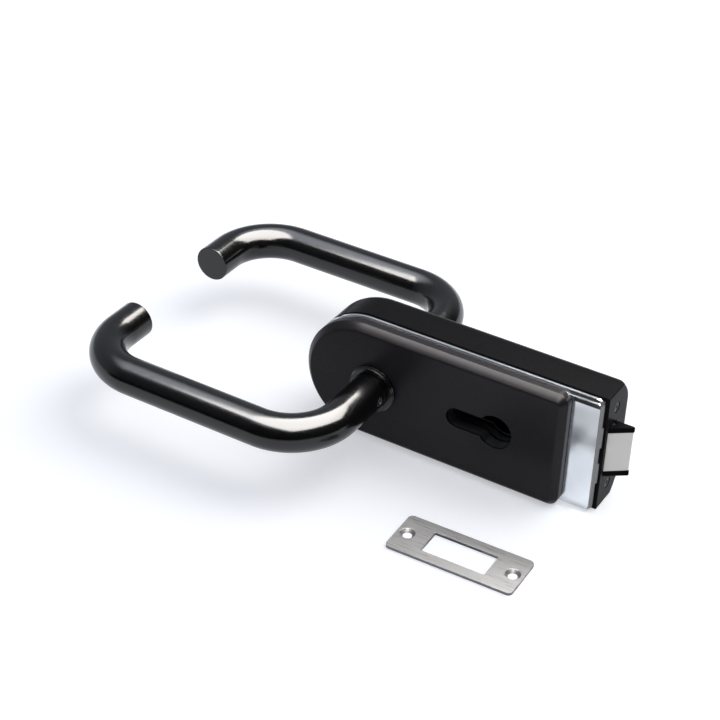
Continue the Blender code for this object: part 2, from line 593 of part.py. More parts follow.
def make_lock_case():
    # folded steel case of the mechanism, open towards the lid
    long_x = LATCH_END_X + REAR_EDGE
    outline = body_outline(long_x, 0.0, CASE_INSET)
    case = flat_solid("lock_case", outline, CASE_Y, CASE_BACK_Y, PART, ZINC,
                      round_far=REAR_EDGE - CASE_INSET)
    trim(case, CASE_END_X)
    inner = body_outline(long_x, 0.0, CASE_INNER_INSET)
    hollow = flat_solid("case_hollow", inner, CASE_Y - OVERRUN, CASE_FLOOR_Y, CUTTERS,
                        round_far=REAR_EDGE - CASE_INNER_INSET)
    trim(hollow, CASE_END_X - CASE_SHEET)
    cut(case, hollow)
    root_y = CASE_FLOOR_Y + CASE_SHEET / 2
    posts = []
    for name, places, radius in (("clamp_post", CLAMP_PLACES, POST_RADIUS),
                                 ("lid_post", LID_PLACES, LID_POST_RADIUS)):
        for number, (x, z) in enumerate(places, 1):
            posts.append(rod(f"{name}_{number}", radius, (x, CASE_Y, z), (0, 1, 0), root_y - CASE_Y,
                             CUTTERS, sides=12))
    pin_y = SLIDE_BACK_Y + 2 * GAP
    posts.append(rod("spring_pin", SPRING_PIN_RADIUS, (0.0, pin_y, AXIS_Z + SPRING_PIN_REACH),
                     (0, 1, 0), root_y - pin_y, CUTTERS, sides=16))
    for name, side in (("slide_rib_upper", 1), ("slide_rib_lower", -1)):
        ends = sorted((AXIS_Z + side * (RAIL_INNER + MM), AXIS_Z + side * (RAIL_OUTER + POST_RADIUS)))
        x = CLAMP_SCREW_X
        half = SLIDE_RIB_WIDTH / 2
        posts.append(block(name, (x - half, SLIDE_BACK_Y + GAP, ends[0]), (x + half, root_y, ends[1]),
                           CUTTERS))
    half = SPRING_BRACKET_WIDTH / 2
    low = (SPRING_SEAT_X - SPRING_SEAT, SLIDE_BACK_Y + 2 * GAP, AXIS_Z - half)
    posts.append(block("spring_bracket", low, (SPRING_SEAT_X, root_y, AXIS_Z + half), CUTTERS))
    for place, y, z in end_screw_places():
        base = (CASE_END_X - CASE_SHEET / 2, y, z)
        posts.append(rod(f"end_boss_{place}", END_BOSS_RADIUS, base, (-1, 0, 0), END_SCREW_LENGTH,
                         CUTTERS, sides=20))
    join(case, *posts)
    cut(case, axis_cutter("case_bore", SHANK_RADIUS + GAP, CASE_FLOOR_Y, CASE_BACK_Y),
        cylinder_cutter("case_cylinder", CASE_FLOOR_Y, CASE_BACK_Y, CYLINDER_CLEARANCE),
        mouth_cutter("case_mouth", CASE_Y - OVERRUN),
        *screw_holes("case_clamp_hole", CLAMP_PLACES, CLAMP_SCREW_RADIUS + GAP, CASE_Y,
                     clamp_tip_y() - OVERRUN + GAP),
        *screw_holes("case_lid_hole", LID_PLACES, LID_SCREW_RADIUS + GAP, CASE_Y,
                     LID_Y + LID_SCREW_LENGTH - OVERRUN + GAP))
    for place, y, z in end_screw_places():
        base = (LATCH_END_X - GAP - END_SCREW_LENGTH - GAP, y, z)
        cut(case, rod(f"end_hole_{place}", END_SCREW_RADIUS + GAP, base, (1, 0, 0),
                      END_SCREW_LENGTH + OVERRUN, CUTTERS, sides=16))


def make_rear_cover():
    long_x = LATCH_END_X + REAR_EDGE
    cover = flat_solid("rear_cover", body_outline(long_x), REAR_FRONT_Y, REAR_Y, PART, BLACK_COAT,
                       round_far=REAR_EDGE)
    trim(cover, LATCH_END_X)
    inner = body_outline(long_x, 0.0, REAR_WALL)
    hollow = flat_solid("rear_hollow", inner, REAR_FRONT_Y - OVERRUN, REAR_Y - REAR_BACK, CUTTERS,
                        round_far=REAR_EDGE - REAR_WALL)
    trim(hollow, LATCH_END_X - REAR_WALL)
    cut(cover, hollow, axis_cutter("rear_bore", BUSH_RADIUS + GAP, REAR_Y - REAR_BACK, REAR_Y),
        cylinder_cutter("rear_cylinder", REAR_Y - REAR_BACK, REAR_Y), mouth_cutter("rear_mouth", CASE_Y))
    for place, y, z in end_screw_places():
        hole = END_SCREW_RADIUS + GAP
        sink = END_SCREW_HEAD + GAP
        depth = REAR_WALL + OVERRUN
        profile = [(0.0, OVERRUN), (sink + OVERRUN, OVERRUN), (hole, hole - sink), (hole, -depth),
                   (0.0, -depth)]
        cut(cover, turned(f"end_sink_{place}", profile, (LATCH_END_X, y, z), (1, 0, 0), CUTTERS, steps=16))


def make_latch():
    # wedge latch of black plastic with a hard insert, on a steel slide round the cylinder hole
    tip_x = LATCH_END_X + LATCH_REACH
    half = LATCH_HEIGHT / 2
    origin = (LATCH_BACK_X, LATCH_Y)
    outline = [(LATCH_BACK_X, LATCH_Y), (LATCH_END_X, LATCH_Y), (tip_x, LATCH_FAR_Y - LATCH_TIP),
               (tip_x, LATCH_FAR_Y), (LATCH_BACK_X, LATCH_FAR_Y)]
    bolt = flat_solid("latch_bolt", outline, AXIS_Z - half, AXIS_Z + half, PART, BLACK_PLASTIC,
                      upright=False, origin=origin)
    insert_x = LATCH_END_X - INSERT_DEPTH
    half_insert = INSERT_HEIGHT / 2
    pocket = block("insert_pocket", (insert_x, LATCH_Y - OVERRUN, AXIS_Z - half_insert - GAP),
                   (tip_x + OVERRUN, LATCH_FAR_Y + OVERRUN, AXIS_Z + half_insert + GAP), CUTTERS)
    tongue_half = half_insert
    slot = block("tongue_slot", (LATCH_BACK_X - OVERRUN, SLIDE_Y - GAP, AXIS_Z - tongue_half - GAP),
                 (TONGUE_X + GAP, SLIDE_BACK_Y + GAP, AXIS_Z + tongue_half + GAP), CUTTERS)
    cut(bolt, pocket, slot)
    near_x = insert_x + GAP
    insert_outline = [(near_x, LATCH_Y), (LATCH_END_X, LATCH_Y), (tip_x, LATCH_FAR_Y - LATCH_TIP),
                      (tip_x, LATCH_FAR_Y), (near_x, LATCH_FAR_Y)]
    insert = flat_solid("latch_insert", insert_outline, AXIS_Z - half_insert, AXIS_Z + half_insert, PART,
                        GREY_PLASTIC, upright=False, origin=origin)
    pin_x = LATCH_END_X
    pin_y = LATCH_FAR_Y - INSERT_PIN_INSET
    pin_length = LATCH_HEIGHT - 2 * INSERT_PIN_RECESS
    pin_base = (pin_x, pin_y, AXIS_Z - pin_length / 2)
    rod("insert_pin", INSERT_PIN_RADIUS, pin_base, (0, 0, 1), pin_length, PART, SATIN, sides=16)
    pin_hole = rod("insert_pin_hole", INSERT_PIN_RADIUS + GAP,
                   (pin_x, pin_y, AXIS_Z - pin_length / 2 - OVERRUN), (0, 0, 1),
                   pin_length + 2 * OVERRUN, CUTTERS, sides=16)
    cut(bolt, pin_hole)
    cut(insert, pin_hole)
    slide = make_latch_slide(tongue_half)
    rivet_x = (LATCH_BACK_X + TONGUE_X) / 2
    for name, side in (("upper", 1), ("lower", -1)):
        z = AXIS_Z + side * tongue_half * 0.6
        base = (rivet_x, LATCH_Y + GAP, z)
        length = LATCH_THICKNESS - 2 * GAP
        rod(f"latch_rivet_{name}", RIVET_RADIUS, base, (0, 1, 0), length, PART, SATIN, sides=16)
        hole = rod(f"rivet_hole_{name}", RIVET_RADIUS + GAP, (rivet_x, LATCH_Y - OVERRUN, z), (0, 1, 0),
                   LATCH_THICKNESS + 2 * OVERRUN, CUTTERS, sides=16)
        cut(bolt, hole)
        cut(slide, hole)
    for step in slide.modifiers:
        step.solver = "MANIFOLD"  # the rails' corners lie in line, where EXACT leaves edges open


def slide_outline(tongue_half):
    # upper half of the frame, then the same points mirrored below
    left = LUG_X - LUG_THICKNESS
    chamfer = RAIL_OUTER - BAY_OUTER
    bay_left = CYLINDER_X - CYLINDER_HEIGHT / 2 - BAY_INNER / 4
    bay_right = CYLINDER_X + BAY_INNER + MM
    lug_inner = HUB_RADIUS + GAP
    upper = [
        (left, lug_inner), (left, RAIL_OUTER), (bay_left + chamfer, RAIL_OUTER), (bay_left, BAY_OUTER),
        (bay_right, BAY_OUTER), (bay_right - chamfer, RAIL_OUTER), (LATCH_BACK_X - GAP, RAIL_OUTER),
        (LATCH_BACK_X - GAP, tongue_half), (TONGUE_X, tongue_half),
    ]
    window = [
        (BAR_X, BAY_INNER), (bay_left, BAY_INNER), (bay_left - OVERRUN, RAIL_INNER),
        (LUG_X + GAP, RAIL_INNER), (LUG_X + GAP, lug_inner),
    ]
    outer = [(x, AXIS_Z + z) for x, z in upper] + [(x, AXIS_Z - z) for x, z in reversed(upper)]
    lower_inner = [(x, AXIS_Z - z) for x, z in reversed(window)]
    return outer + lower_inner + [(x, AXIS_Z + z) for x, z in window]


def make_latch_slide(tongue_half):
    origin = (LATCH_BACK_X, AXIS_Z)
    slide = flat_solid("latch_slide", slide_outline(tongue_half), SLIDE_Y, SLIDE_BACK_Y, PART, ZINC,
                       origin=origin)
    lug_near = LATCH_Y + 2 * GAP
    lugs = []
    for name, side in (("lug_upper", 1), ("lug_lower", -1)):
        ends = sorted((AXIS_Z + side * (HUB_RADIUS + 2 * GAP), AXIS_Z + side * (RAIL_OUTER - GAP)))
        lugs.append(block(name, (LUG_X - LUG_THICKNESS + GAP, lug_near, ends[0]),
                          (LUG_X, SLIDE_Y + SLIDE_SHEET / 2, ends[1]), CUTTERS))
    cam_x = CYLINDER_X - BAY_INNER
    lugs.append(block("cam_lug", (cam_x - LUG_THICKNESS, lug_near, AXIS_Z - RAIL_OUTER + MM),
                      (cam_x, SLIDE_Y + SLIDE_SHEET / 2, AXIS_Z - CYLINDER_SLOT / 2 - 2 * MM), CUTTERS))
    half = SPRING_LUG_WIDTH / 2
    lugs.append(block("spring_lug", (SPRING_LUG_X, SLIDE_Y + SLIDE_SHEET / 2, AXIS_Z - half),
                      (SPRING_LUG_X + LUG_THICKNESS, CASE_FLOOR_Y - 2 * GAP, AXIS_Z + half), CUTTERS))
    join(slide, *lugs)
    return slide


def make_latch_spring():
    y = (SLIDE_BACK_Y + CASE_FLOOR_Y) / 2
    start = SPRING_SEAT_X + GAP + LATCH_SPRING_WIRE
    length = SPRING_LUG_X - GAP - LATCH_SPRING_WIRE - start
    steps = LATCH_SPRING_SIDES * LATCH_SPRING_TURNS
    points = []
    for i in range(steps + 1):
        turn = 2 * math.pi * i / LATCH_SPRING_SIDES
        points.append((start + length * i / steps, y + LATCH_SPRING_RADIUS * math.cos(turn),
                       AXIS_Z + LATCH_SPRING_RADIUS * math.sin(turn)))
    wire("latch_spring", points, LATCH_SPRING_WIRE, PART, SPRING_STEEL)
    radius = LATCH_SPRING_RADIUS - LATCH_SPRING_WIRE - GAP
    free = length - LATCH_TRAVEL - 2 * GAP
    rod("latch_spring_guide", radius, (SPRING_SEAT_X + GAP, y, AXIS_Z), (1, 0, 0), free, PART, SATIN,
        sides=16)


def arm_outline():
    # one straight bar with a round nose above and below the hub
    top = arc(0.0, AXIS_Z + ARM_REACH, NOSE_RADIUS, 0, 180, 10)
    return top + arc(0.0, AXIS_Z - ARM_REACH, NOSE_RADIUS, 180, 360, 10)


def make_follower():
    # hub on the square spindle, an arm for each way of turning and a dog for the spring
    arm_near = LATCH_Y + ARM_GAP
    arm_far = SLIDE_Y - GAP
    follower = flat_solid("follower", arm_outline(), arm_near, arm_far, PART, ZINC, origin=(0.0, AXIS_Z))
    shoulder = LATCH_Y - GAP
    profile = [(0.0, HUB_BACK_Y - LID_Y), (HUB_RADIUS, HUB_BACK_Y - LID_Y),
               (HUB_RADIUS, shoulder + GAP - LID_Y), (JOURNAL_RADIUS, shoulder + GAP - LID_Y),
               (JOURNAL_RADIUS, 0.0), (0.0, 0.0)]
    hub = turned("hub", profile, (0.0, LID_Y, AXIS_Z), (0, 1, 0), CUTTERS, steps=24)
    half = DOG_WIDTH / 2
    bar_top = RAIL_INNER - 2 * GAP
    bar = block("dog_bar", (-half, arm_far - MM, AXIS_Z), (half, SLIDE_BACK_Y + 2 * GAP, AXIS_Z + bar_top),
                CUTTERS)
    finger = block("dog_finger", (-half, SLIDE_BACK_Y + GAP, AXIS_Z + bar_top - MM),
                   (half, HUB_BACK_Y, AXIS_Z + DOG_REACH), CUTTERS)
    join(follower, hub, bar, finger)
    cut(follower, square_cutter("follower_square", LID_Y, HUB_BACK_Y))


def square_cutter(name, near, far):
    half = SPINDLE_SIDE / 2 + GAP / 2
    return block(name, (-half, near - OVERRUN, AXIS_Z - half), (half, far + OVERRUN, AXIS_Z + half), CUTTERS)


def make_return_spring():
    # two turns round the hub, with legs on both sides of the dog and the fixed pin
    radius = HUB_RADIUS + 2 * GAP + SPRING_WIRE
    offset = SPRING_PIN_RADIUS + GAP + SPRING_WIRE
    start = math.asin(offset / radius)
    sweep = SPRING_TURNS * 2 * math.pi - 2 * start
    near = SLIDE_BACK_Y + 3 * GAP + SPRING_WIRE
    steps = 12 * SPRING_TURNS
    points = [(offset, near, AXIS_Z + SPRING_LEG)]
    for i in range(steps + 1):
        angle = start + sweep * i / steps
        points.append((radius * math.sin(angle), near + SPRING_PITCH * sweep * i / steps / (2 * math.pi),
                       AXIS_Z + radius * math.cos(angle)))
    points.append((-offset, points[-1][1], AXIS_Z + SPRING_LEG))
    wire("return_spring", points, SPRING_WIRE, PART, SPRING_STEEL)


def lever_path(side, start_y, end_y):
    # out from the door, round to the grip, and round again to the free end; Y is mirrored by side
    grip_y = STACK_DEPTH / 2 + GRIP_STANDOFF
    first = arc(-TUBE_BEND, grip_y - TUBE_BEND, TUBE_BEND, 0, 90, TUBE_BEND_STEPS)
    second = arc(-GRIP_LENGTH + TUBE_BEND, grip_y - TUBE_BEND, TUBE_BEND, 90, 180, TUBE_BEND_STEPS)
    points = [(0.0, start_y)] + first + second + [(-GRIP_LENGTH, end_y)]
    return [(x, side * y, AXIS_Z) for x, y in points]


def make_lever(place, side, start_y, bush_near, inner_y, clip_y, square_end):
    # side is -1 in front and 1 at the rear; distances are measured out from the middle of the stack
    axis_point = Vector((0.0, 0.0, AXIS_Z))
    face_y = STACK_DEPTH / 2
    out = (0, side, 0)
    resolution = TUBE_SIDES // 2 - 2
    end_y = face_y + FREE_END_STANDOFF
    cap_y = end_y + CAP_THICKNESS + GAP
    tube = wire(f"{place}_lever", lever_path(side, start_y, cap_y), TUBE_RADIUS, PART, BLACK_COAT, resolution)
    bore = wire(f"{place}_lever_bore", lever_path(side, start_y - OVERRUN, cap_y - OVERRUN),
                TUBE_RADIUS - TUBE_WALL, CUTTERS, None, resolution)
    tube.data.transform(Matrix.Translation(-axis_point))
    tube.location = axis_point
    grub_y = side * (face_y + GRUB_OFFSET)
    grub_hole = rod(f"{place}_grub_hole", GRUB_RADIUS + GAP, (0.0, grub_y, AXIS_Z), (1, 0, 0),
                    TUBE_RADIUS + OVERRUN, CUTTERS, sides=16)
    cut(tube, bore, grub_hole)
    plug = SHANK_RADIUS
    profile = [(0.0, CAP_PLUG + CAP_THICKNESS), (plug, CAP_PLUG + CAP_THICKNESS), (plug, CAP_THICKNESS),
               (TUBE_RADIUS, CAP_THICKNESS), (TUBE_RADIUS, 0.0), (0.0, 0.0)]
    turned(f"{place}_end_cap", profile, (-GRIP_LENGTH, side * end_y, AXIS_Z), out, PART, BLACK_COAT,
           TUBE_SIDES)
    shank_end = face_y + SHANK_REACH
    groove_near = clip_y - GAP
    groove_far = clip_y + CIRCLIP_THICKNESS + GAP
    neck = SHANK_RADIUS - CIRCLIP_GROOVE
    heights = [shank_end - inner_y, groove_far - inner_y, groove_near - inner_y]
    profile = [(0.0, heights[0]), (SHANK_RADIUS, heights[0]), (SHANK_RADIUS, heights[1]),
               (neck, heights[1]), (neck, heights[2]), (SHANK_RADIUS, heights[2]), (SHANK_RADIUS, 0.0),
               (0.0, 0.0)]
    shank = turned(f"{place}_shank", profile, (0.0, side * inner_y, AXIS_Z), out, PART, SATIN, 24)
    ends = sorted((side * inner_y, side * square_end))
    cut(shank, square_cutter(f"{place}_square", *ends), grub_hole)
    seat_x_grub = SPINDLE_SIDE / 2 + GAP
    grub_length = TUBE_RADIUS - GAP - seat_x_grub
    grub = rod(f"{place}_grub_screw", GRUB_RADIUS, (seat_x_grub, grub_y, AXIS_Z), (1, 0, 0), grub_length,
               PART, BLACK_COAT, sides=16)
    socket = rod(f"{place}_grub_socket", GRUB_RADIUS / 2, (seat_x_grub + grub_length / 2, grub_y, AXIS_Z),
                 (1, 0, 0), grub_length, CUTTERS, sides=6)
    cut(grub, socket)
    inner, outer = neck + GAP / 2, neck + CIRCLIP_WIDTH
    start, end = CIRCLIP_OPENING / 2 - 90, 270 - CIRCLIP_OPENING / 2
    outline = arc(0.0, AXIS_Z, outer, start, end, 20) + arc(0.0, AXIS_Z, inner, end, start, 20)
    near, far = sorted((side * clip_y, side * (clip_y + CIRCLIP_THICKNESS)))
    flat_solid(f"{place}_circlip", outline, near, far, PART, SPRING_STEEL, origin=(0.0, AXIS_Z))
    groove = COLLAR_HEIGHT / 4
    inner, outer = TUBE_RADIUS + GAP, COLLAR_RADIUS
    profile = [(outer - groove / 2, COLLAR_HEIGHT), (outer, COLLAR_HEIGHT - groove / 2),
               (outer, COLLAR_HEIGHT - groove), (outer - COLLAR_GROOVE, COLLAR_HEIGHT - 1.5 * groove),
               (outer - COLLAR_GROOVE, COLLAR_HEIGHT - 2 * groove), (outer, COLLAR_HEIGHT - 2.5 * groove),
               (outer, 0.0), (inner, 0.0), (inner, COLLAR_HEIGHT)]
    turned(f"{place}_collar", profile, (0.0, side * (face_y + GAP), AXIS_Z), out, PART, BLACK_COAT, 24,
           ring=True)
    ring(f"{place}_bush", TUBE_RADIUS + GAP, BUSH_RADIUS, (0.0, side * bush_near, AXIS_Z), out,
         face_y - bush_near, PART, GREY_PLASTIC, 24)


def make_levers():
    clip_front = -(PLATE_Y + PLATE_SHEET + GAP) - CIRCLIP_THICKNESS
    square_end = STACK_DEPTH / 2 + SPINDLE_REACH + GAP
    make_lever("front", -1, -COVER_BACK_Y, -COVER_BACK_Y, clip_front - 4 * GAP, clip_front, square_end)
    clip_rear = CASE_FLOOR_Y - GAP - CIRCLIP_THICKNESS
    rear_inner = HUB_BACK_Y + GAP
    make_lever("rear", 1, CASE_BACK_Y + GAP, CASE_BACK_Y + GAP, rear_inner, clip_rear, square_end)
    half = SPINDLE_SIDE / 2
    reach = STACK_DEPTH / 2 + SPINDLE_REACH
    block("spindle", (-half, -reach, AXIS_Z - half), (half, reach, AXIS_Z + half), PART, ZINC)


def socket_screw(name, base, along, length):
    # cylinder head with a hexagon socket; base is the head's outer face
    top = 0.0
    profile = [(0.0, top), (CLAMP_HEAD_RADIUS, top), (CLAMP_HEAD_RADIUS, -CLAMP_HEAD_HEIGHT),
               (CLAMP_SCREW_RADIUS, -CLAMP_HEAD_HEIGHT), (CLAMP_SCREW_RADIUS, -length), (0.0, -length)]
    screw = turned(name, profile, base, [-a for a in along], PART, ZINC, 16)
    socket_base = Vector(base) - Vector(along) * OVERRUN
    socket = rod(name + "_socket", CLAMP_HEAD_RADIUS / 2, socket_base, along,
                 OVERRUN + CLAMP_HEAD_HEIGHT * 0.6, CUTTERS, sides=6)
    cut(screw, socket)


def clamp_tip_y():
    return CASE_Y + (CASE_FLOOR_Y - CASE_Y) * 0.65


def make_screws():
    head_y = CARRIER_BACK_Y - GAP - CLAMP_HEAD_HEIGHT
    for number, (x, z) in enumerate(CLAMP_PLACES, 1):
        socket_screw(f"clamp_screw_{number}", (x, head_y, z), (0, 1, 0), clamp_tip_y() - head_y)
    for number, (x, z) in enumerate(LID_PLACES, 1):
        sink = LID_SCREW_RADIUS + LID_SHEET
        profile = [(0.0, 0.0), (sink, 0.0), (LID_SCREW_RADIUS, -LID_SHEET),
                   (LID_SCREW_RADIUS, -LID_SCREW_LENGTH), (0.0, -LID_SCREW_LENGTH)]
        turned(f"lid_screw_{number}", profile, (x, LID_Y, z), (0, -1, 0), PART, ZINC, 12)
    for place, y, z in end_screw_places():
        cone = END_SCREW_HEAD - END_SCREW_RADIUS
        profile = [(0.0, 0.0), (END_SCREW_HEAD, 0.0), (END_SCREW_RADIUS, -cone),
                   (END_SCREW_RADIUS, -END_SCREW_LENGTH), (0.0, -END_SCREW_LENGTH)]
        screw = turned(f"end_screw_{place}", profile, (LATCH_END_X - GAP, y, z), (1, 0, 0), PART,
                       BLACK_COAT, 16)
        socket = rod(f"end_socket_{place}", END_SCREW_RADIUS * 0.8, (LATCH_END_X - cone - GAP, y, z),
                     (1, 0, 0), cone + OVERRUN, CUTTERS, sides=6)
        cut(screw, socket)


def make_strike_plate():
    half_x, half_y = STRIKE_LENGTH / 2, STRIKE_WIDTH / 2
    outline = rounded_box_outline(-half_x, half_x, -half_y, half_y, STRIKE_CORNER)
    plate = flat_solid("strike_plate", outline, 0.0, STRIKE_SHEET, PART, SATIN, upright=False)
    place = Matrix.Translation((*STRIKE_PLACE, 0.0)) @ Matrix.Rotation(STRIKE_TURN, 4, "Z")
    window_x, window_y = STRIKE_WINDOW[0] / 2, STRIKE_WINDOW[1] / 2
    window = flat_solid("strike_window", rounded_box_outline(-window_x, window_x, -window_y, window_y,
                                                             STRIKE_WINDOW_CORNER),
                        -OVERRUN, STRIKE_SHEET + OVERRUN, CUTTERS, upright=False)
    cutters = [window]
    for name, side in (("strike_hole_right", 1), ("strike_hole_left", -1)):
        hole = STRIKE_SCREW_RADIUS
        profile = [(0.0, OVERRUN), (hole + STRIKE_SHEET + OVERRUN, OVERRUN), (hole, -STRIKE_SHEET),
                   (hole, -STRIKE_SHEET - OVERRUN), (0.0, -STRIKE_SHEET - OVERRUN)]
        base = (side * STRIKE_SCREW_SPACING / 2, 0.0, STRIKE_SHEET)
        cutters.append(turned(name, profile, base, (0, 0, 1), CUTTERS, steps=24))
    bpy.context.view_layer.update()
    for item in [plate] + cutters:
        item.matrix_world = place @ item.matrix_world
    cut(plate, *cutters)


def hold_by_joints():
    # the moving pieces hang on an empty on their joint's axis
    turning = ["front_lever", "rear_lever", "front_end_cap", "rear_end_cap", "front_shank", "rear_shank",
               "front_grub_screw", "rear_grub_screw", "front_circlip", "rear_circlip", "spindle", "follower"]
    sliding = ["latch_bolt", "latch_insert", "insert_pin", "latch_slide", "latch_rivet_upper",
               "latch_rivet_lower"]
    places = (("lever_axis", Vector((0.0, 0.0, AXIS_Z)), turning),
              ("latch_line", Vector((LATCH_BACK_X, LATCH_Y, AXIS_Z)), sliding))
    bpy.context.view_layer.update()
    for name, place, pieces in places:
        empty = bpy.data.objects.new(name, None)
        empty.location = place
        PART.objects.link(empty)
        for piece in pieces:
            item = bpy.data.objects[piece]
            item.parent = empty
            item.matrix_parent_inverse = Matrix.Translation(-place)


make_front_cover()
make_cover_carrier()
make_base_plate()
make_glass_pads()
make_case_lid()
make_lock_case()
make_rear_cover()
make_latch()
make_latch_spring()
make_follower()
make_return_spring()
make_levers()
make_screws()
make_strike_plate()
hold_by_joints()
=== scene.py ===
# Partition door lock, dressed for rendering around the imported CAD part.
# X runs along the body to the latch, Y across the door from front to rear, Z up. Metres.

import math

import bmesh
import bpy
from mathutils import Matrix, Vector


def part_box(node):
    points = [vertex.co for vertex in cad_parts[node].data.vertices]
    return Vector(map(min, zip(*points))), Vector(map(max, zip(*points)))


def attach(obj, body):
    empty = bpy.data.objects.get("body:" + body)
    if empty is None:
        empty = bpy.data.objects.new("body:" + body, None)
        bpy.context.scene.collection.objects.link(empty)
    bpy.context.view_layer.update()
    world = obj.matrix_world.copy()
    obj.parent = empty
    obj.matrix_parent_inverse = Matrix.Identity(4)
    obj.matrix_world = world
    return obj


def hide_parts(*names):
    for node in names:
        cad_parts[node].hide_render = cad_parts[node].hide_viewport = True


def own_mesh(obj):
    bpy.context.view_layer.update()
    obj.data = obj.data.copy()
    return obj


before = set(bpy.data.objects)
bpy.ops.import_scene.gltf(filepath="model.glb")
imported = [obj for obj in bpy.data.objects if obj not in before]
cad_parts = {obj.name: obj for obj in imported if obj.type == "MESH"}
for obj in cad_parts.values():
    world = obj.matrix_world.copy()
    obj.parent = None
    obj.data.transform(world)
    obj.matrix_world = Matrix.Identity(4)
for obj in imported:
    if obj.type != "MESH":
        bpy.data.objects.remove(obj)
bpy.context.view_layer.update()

mm = 0.001
axisZ = 32.0 * mm  # lever axis, and the centre line of the body
endX = 117.5 * mm  # end face with the latch
frontY = -17.25 * mm
rearY = 17.25 * mm
gap = 0.3 * mm
coverBackY = frontY + 7.3 * mm
plateY = coverBackY + gap
plateBackY = plateY + 3 * mm
rearFrontY = plateBackY + 1.8 * mm
caseY = rearFrontY + 2.5 * mm
latchY = caseY + gap
latchFarY = latchY + 8.1 * mm
hair = 0.06 * mm  # seam between two pieces that are one to the eye
roundX = -8 * mm  # centre of the body's round end
roundSteps, cornerSteps = 72, 10
plugHole = {"x": 66.5 * mm, "radius": 9 * mm, "slotX": 45.8 * mm, "halfSlot": 5.3 * mm}
# the walls of the cylinder hole lie between these, on both sides of the centre line; faces there are painted
# black as painted shade in the keyhole
keyholeShadeLowX, keyholeShadeHighX, keyholeShadeHalf = 38 * mm, 78 * mm, 11 * mm


# Mesh tools

def newPiece(name, points, faces):
    mesh = bpy.data.meshes.new(name)
    mesh.from_pydata([tuple(p) for p in points], [], faces)
    item = bpy.data.objects.new(name, mesh)
    bpy.context.scene.collection.objects.link(item)
    shape = bmesh.new()
    shape.from_mesh(mesh)
    bmesh.ops.recalc_face_normals(shape, faces=shape.faces)
    shape.to_mesh(mesh)
    shape.free()
    return item


def loft(name, rings, closed=False):
    # rings of equally many points, joined in order; closed joins the last to the first
    count, total = len(rings[0]), len(rings)
    faces = []
    for r in range(total if closed else total - 1):
        a, b = r * count, (r + 1) % total * count
        for i in range(count):
            j = (i + 1) % count
            faces.append((a + i, a + j, b + j, b + i))
    if not closed:
        faces.append(tuple(range(count)))
        faces.append(tuple(range((total - 1) * count, total * count)))
    return newPiece(name, [p for ring in rings for p in ring], faces)


def arcPoints(centreU, centreV, radius, start, end, steps):
    angles = [math.radians(start + (end - start) * i / steps) for i in range(steps + 1)]
    return [(centreU + radius * math.cos(a), centreV + radius * math.sin(a)) for a in angles]


def bodyOutline(rightX, corner, inset):
    # half round at the lever end, rounded corners at the latch end, always the same number of points
    low, high, right = inset, 2 * axisZ - inset, rightX - inset
    r = max(corner - inset, 0.2 * mm)
    points = arcPoints(roundX, axisZ, axisZ - inset, 90, 270, roundSteps)
    points += arcPoints(right - r, low + r, r, 270, 360, cornerSteps)
    return points + arcPoints(right - r, high - r, r, 0, 90, cornerSteps)


def squareOutline(rightX, inset):
    # the same, cut square across at rightX
    points = arcPoints(roundX, axisZ, axisZ - inset, 90, 270, roundSteps)
    return points + [(rightX, inset), (rightX, 2 * axisZ - inset)]


def keyholeOutline(grow=0.0):
    radius, halfSlot = plugHole["radius"] + grow, plugHole["halfSlot"] + grow
    meet = math.degrees(math.asin(halfSlot / radius))
    points = arcPoints(plugHole["x"], axisZ, radius, meet - 180, 180 - meet, 64)
    return points + arcPoints(plugHole["slotX"], axisZ, halfSlot, 90, 270, 32)


def roundProfile(face, wallInset, radius, into, steps=8):
    # (y, inset) from the wall round to the face; into is +1 where the body lies behind the face
    turns = [math.radians(90 * i / steps) for i in range(steps + 1)]
    return [(face + into * radius * (1 - math.sin(a)), wallInset + radius * (1 - math.cos(a)))
            for a in turns]


def ringsOf(outline, profile):
    return [[(x, y, z) for x, z in outline(inset)] for y, inset in profile]


def prism(name, outline, near, far):
    return loft(name, [[(x, near, z) for x, z in outline], [(x, far, z) for x, z in outline]])


def standing(name, outline, low, high):
    return loft(name, [[(x, y, low) for x, y in outline], [(x, y, high) for x, y in outline]])


def boxCutter(name, low, high):
    corners = [(low[0], low[2]), (high[0], low[2]), (high[0], high[2]), (low[0], high[2])]
    return prism(name, corners, low[1], high[1])


def spun(name, profile, base, along, steps=64, closed=False):
    # profile of (radius, height); a radius of 0 becomes a small flat that the caps close
    turn = Vector(along).to_track_quat("Z", "Y").to_matrix().to_4x4()
    place = Matrix.Translation(base) @ turn
    rings = []
    for radius, height in profile:
        rings.append([place @ Vector((u, v, height))
                      for u, v in arcPoints(0, 0, max(radius, 1e-5), 0, 360 - 360 / steps, steps - 1)])
    return loft(name, rings, closed)


def drill(name, radius, depth, base, along, steps=64):
    return spun(name, [(radius, 0), (radius, depth)], base, along, steps)


def cutAway(item, *cutters, operation="DIFFERENCE"):
    for cutter in cutters:
        step = item.modifiers.new(cutter.name, "BOOLEAN")
        step.operation = operation
        step.object = cutter
        step.solver = "EXACT"
    settle(item)
    for cutter in cutters:
        bpy.data.objects.remove(cutter, do_unlink=True)
    return item


def settle(item):
    # modifiers so far become the mesh
    bpy.context.view_layer.update()
    shown = item.evaluated_get(bpy.context.evaluated_depsgraph_get())
    mesh = bpy.data.meshes.new_from_object(shown)
    item.modifiers.clear()
    item.data = mesh
    return item


def softEdges(item, width):
    bevel = item.modifiers.new("softEdges", "BEVEL")
    bevel.width = width
    bevel.segments = 2
    bevel.limit_method = "ANGLE"
    bevel.angle_limit = math.radians(35)
    bevel.use_clamp_overlap = True
    bevel.harden_normals = False
    return smooth(item)


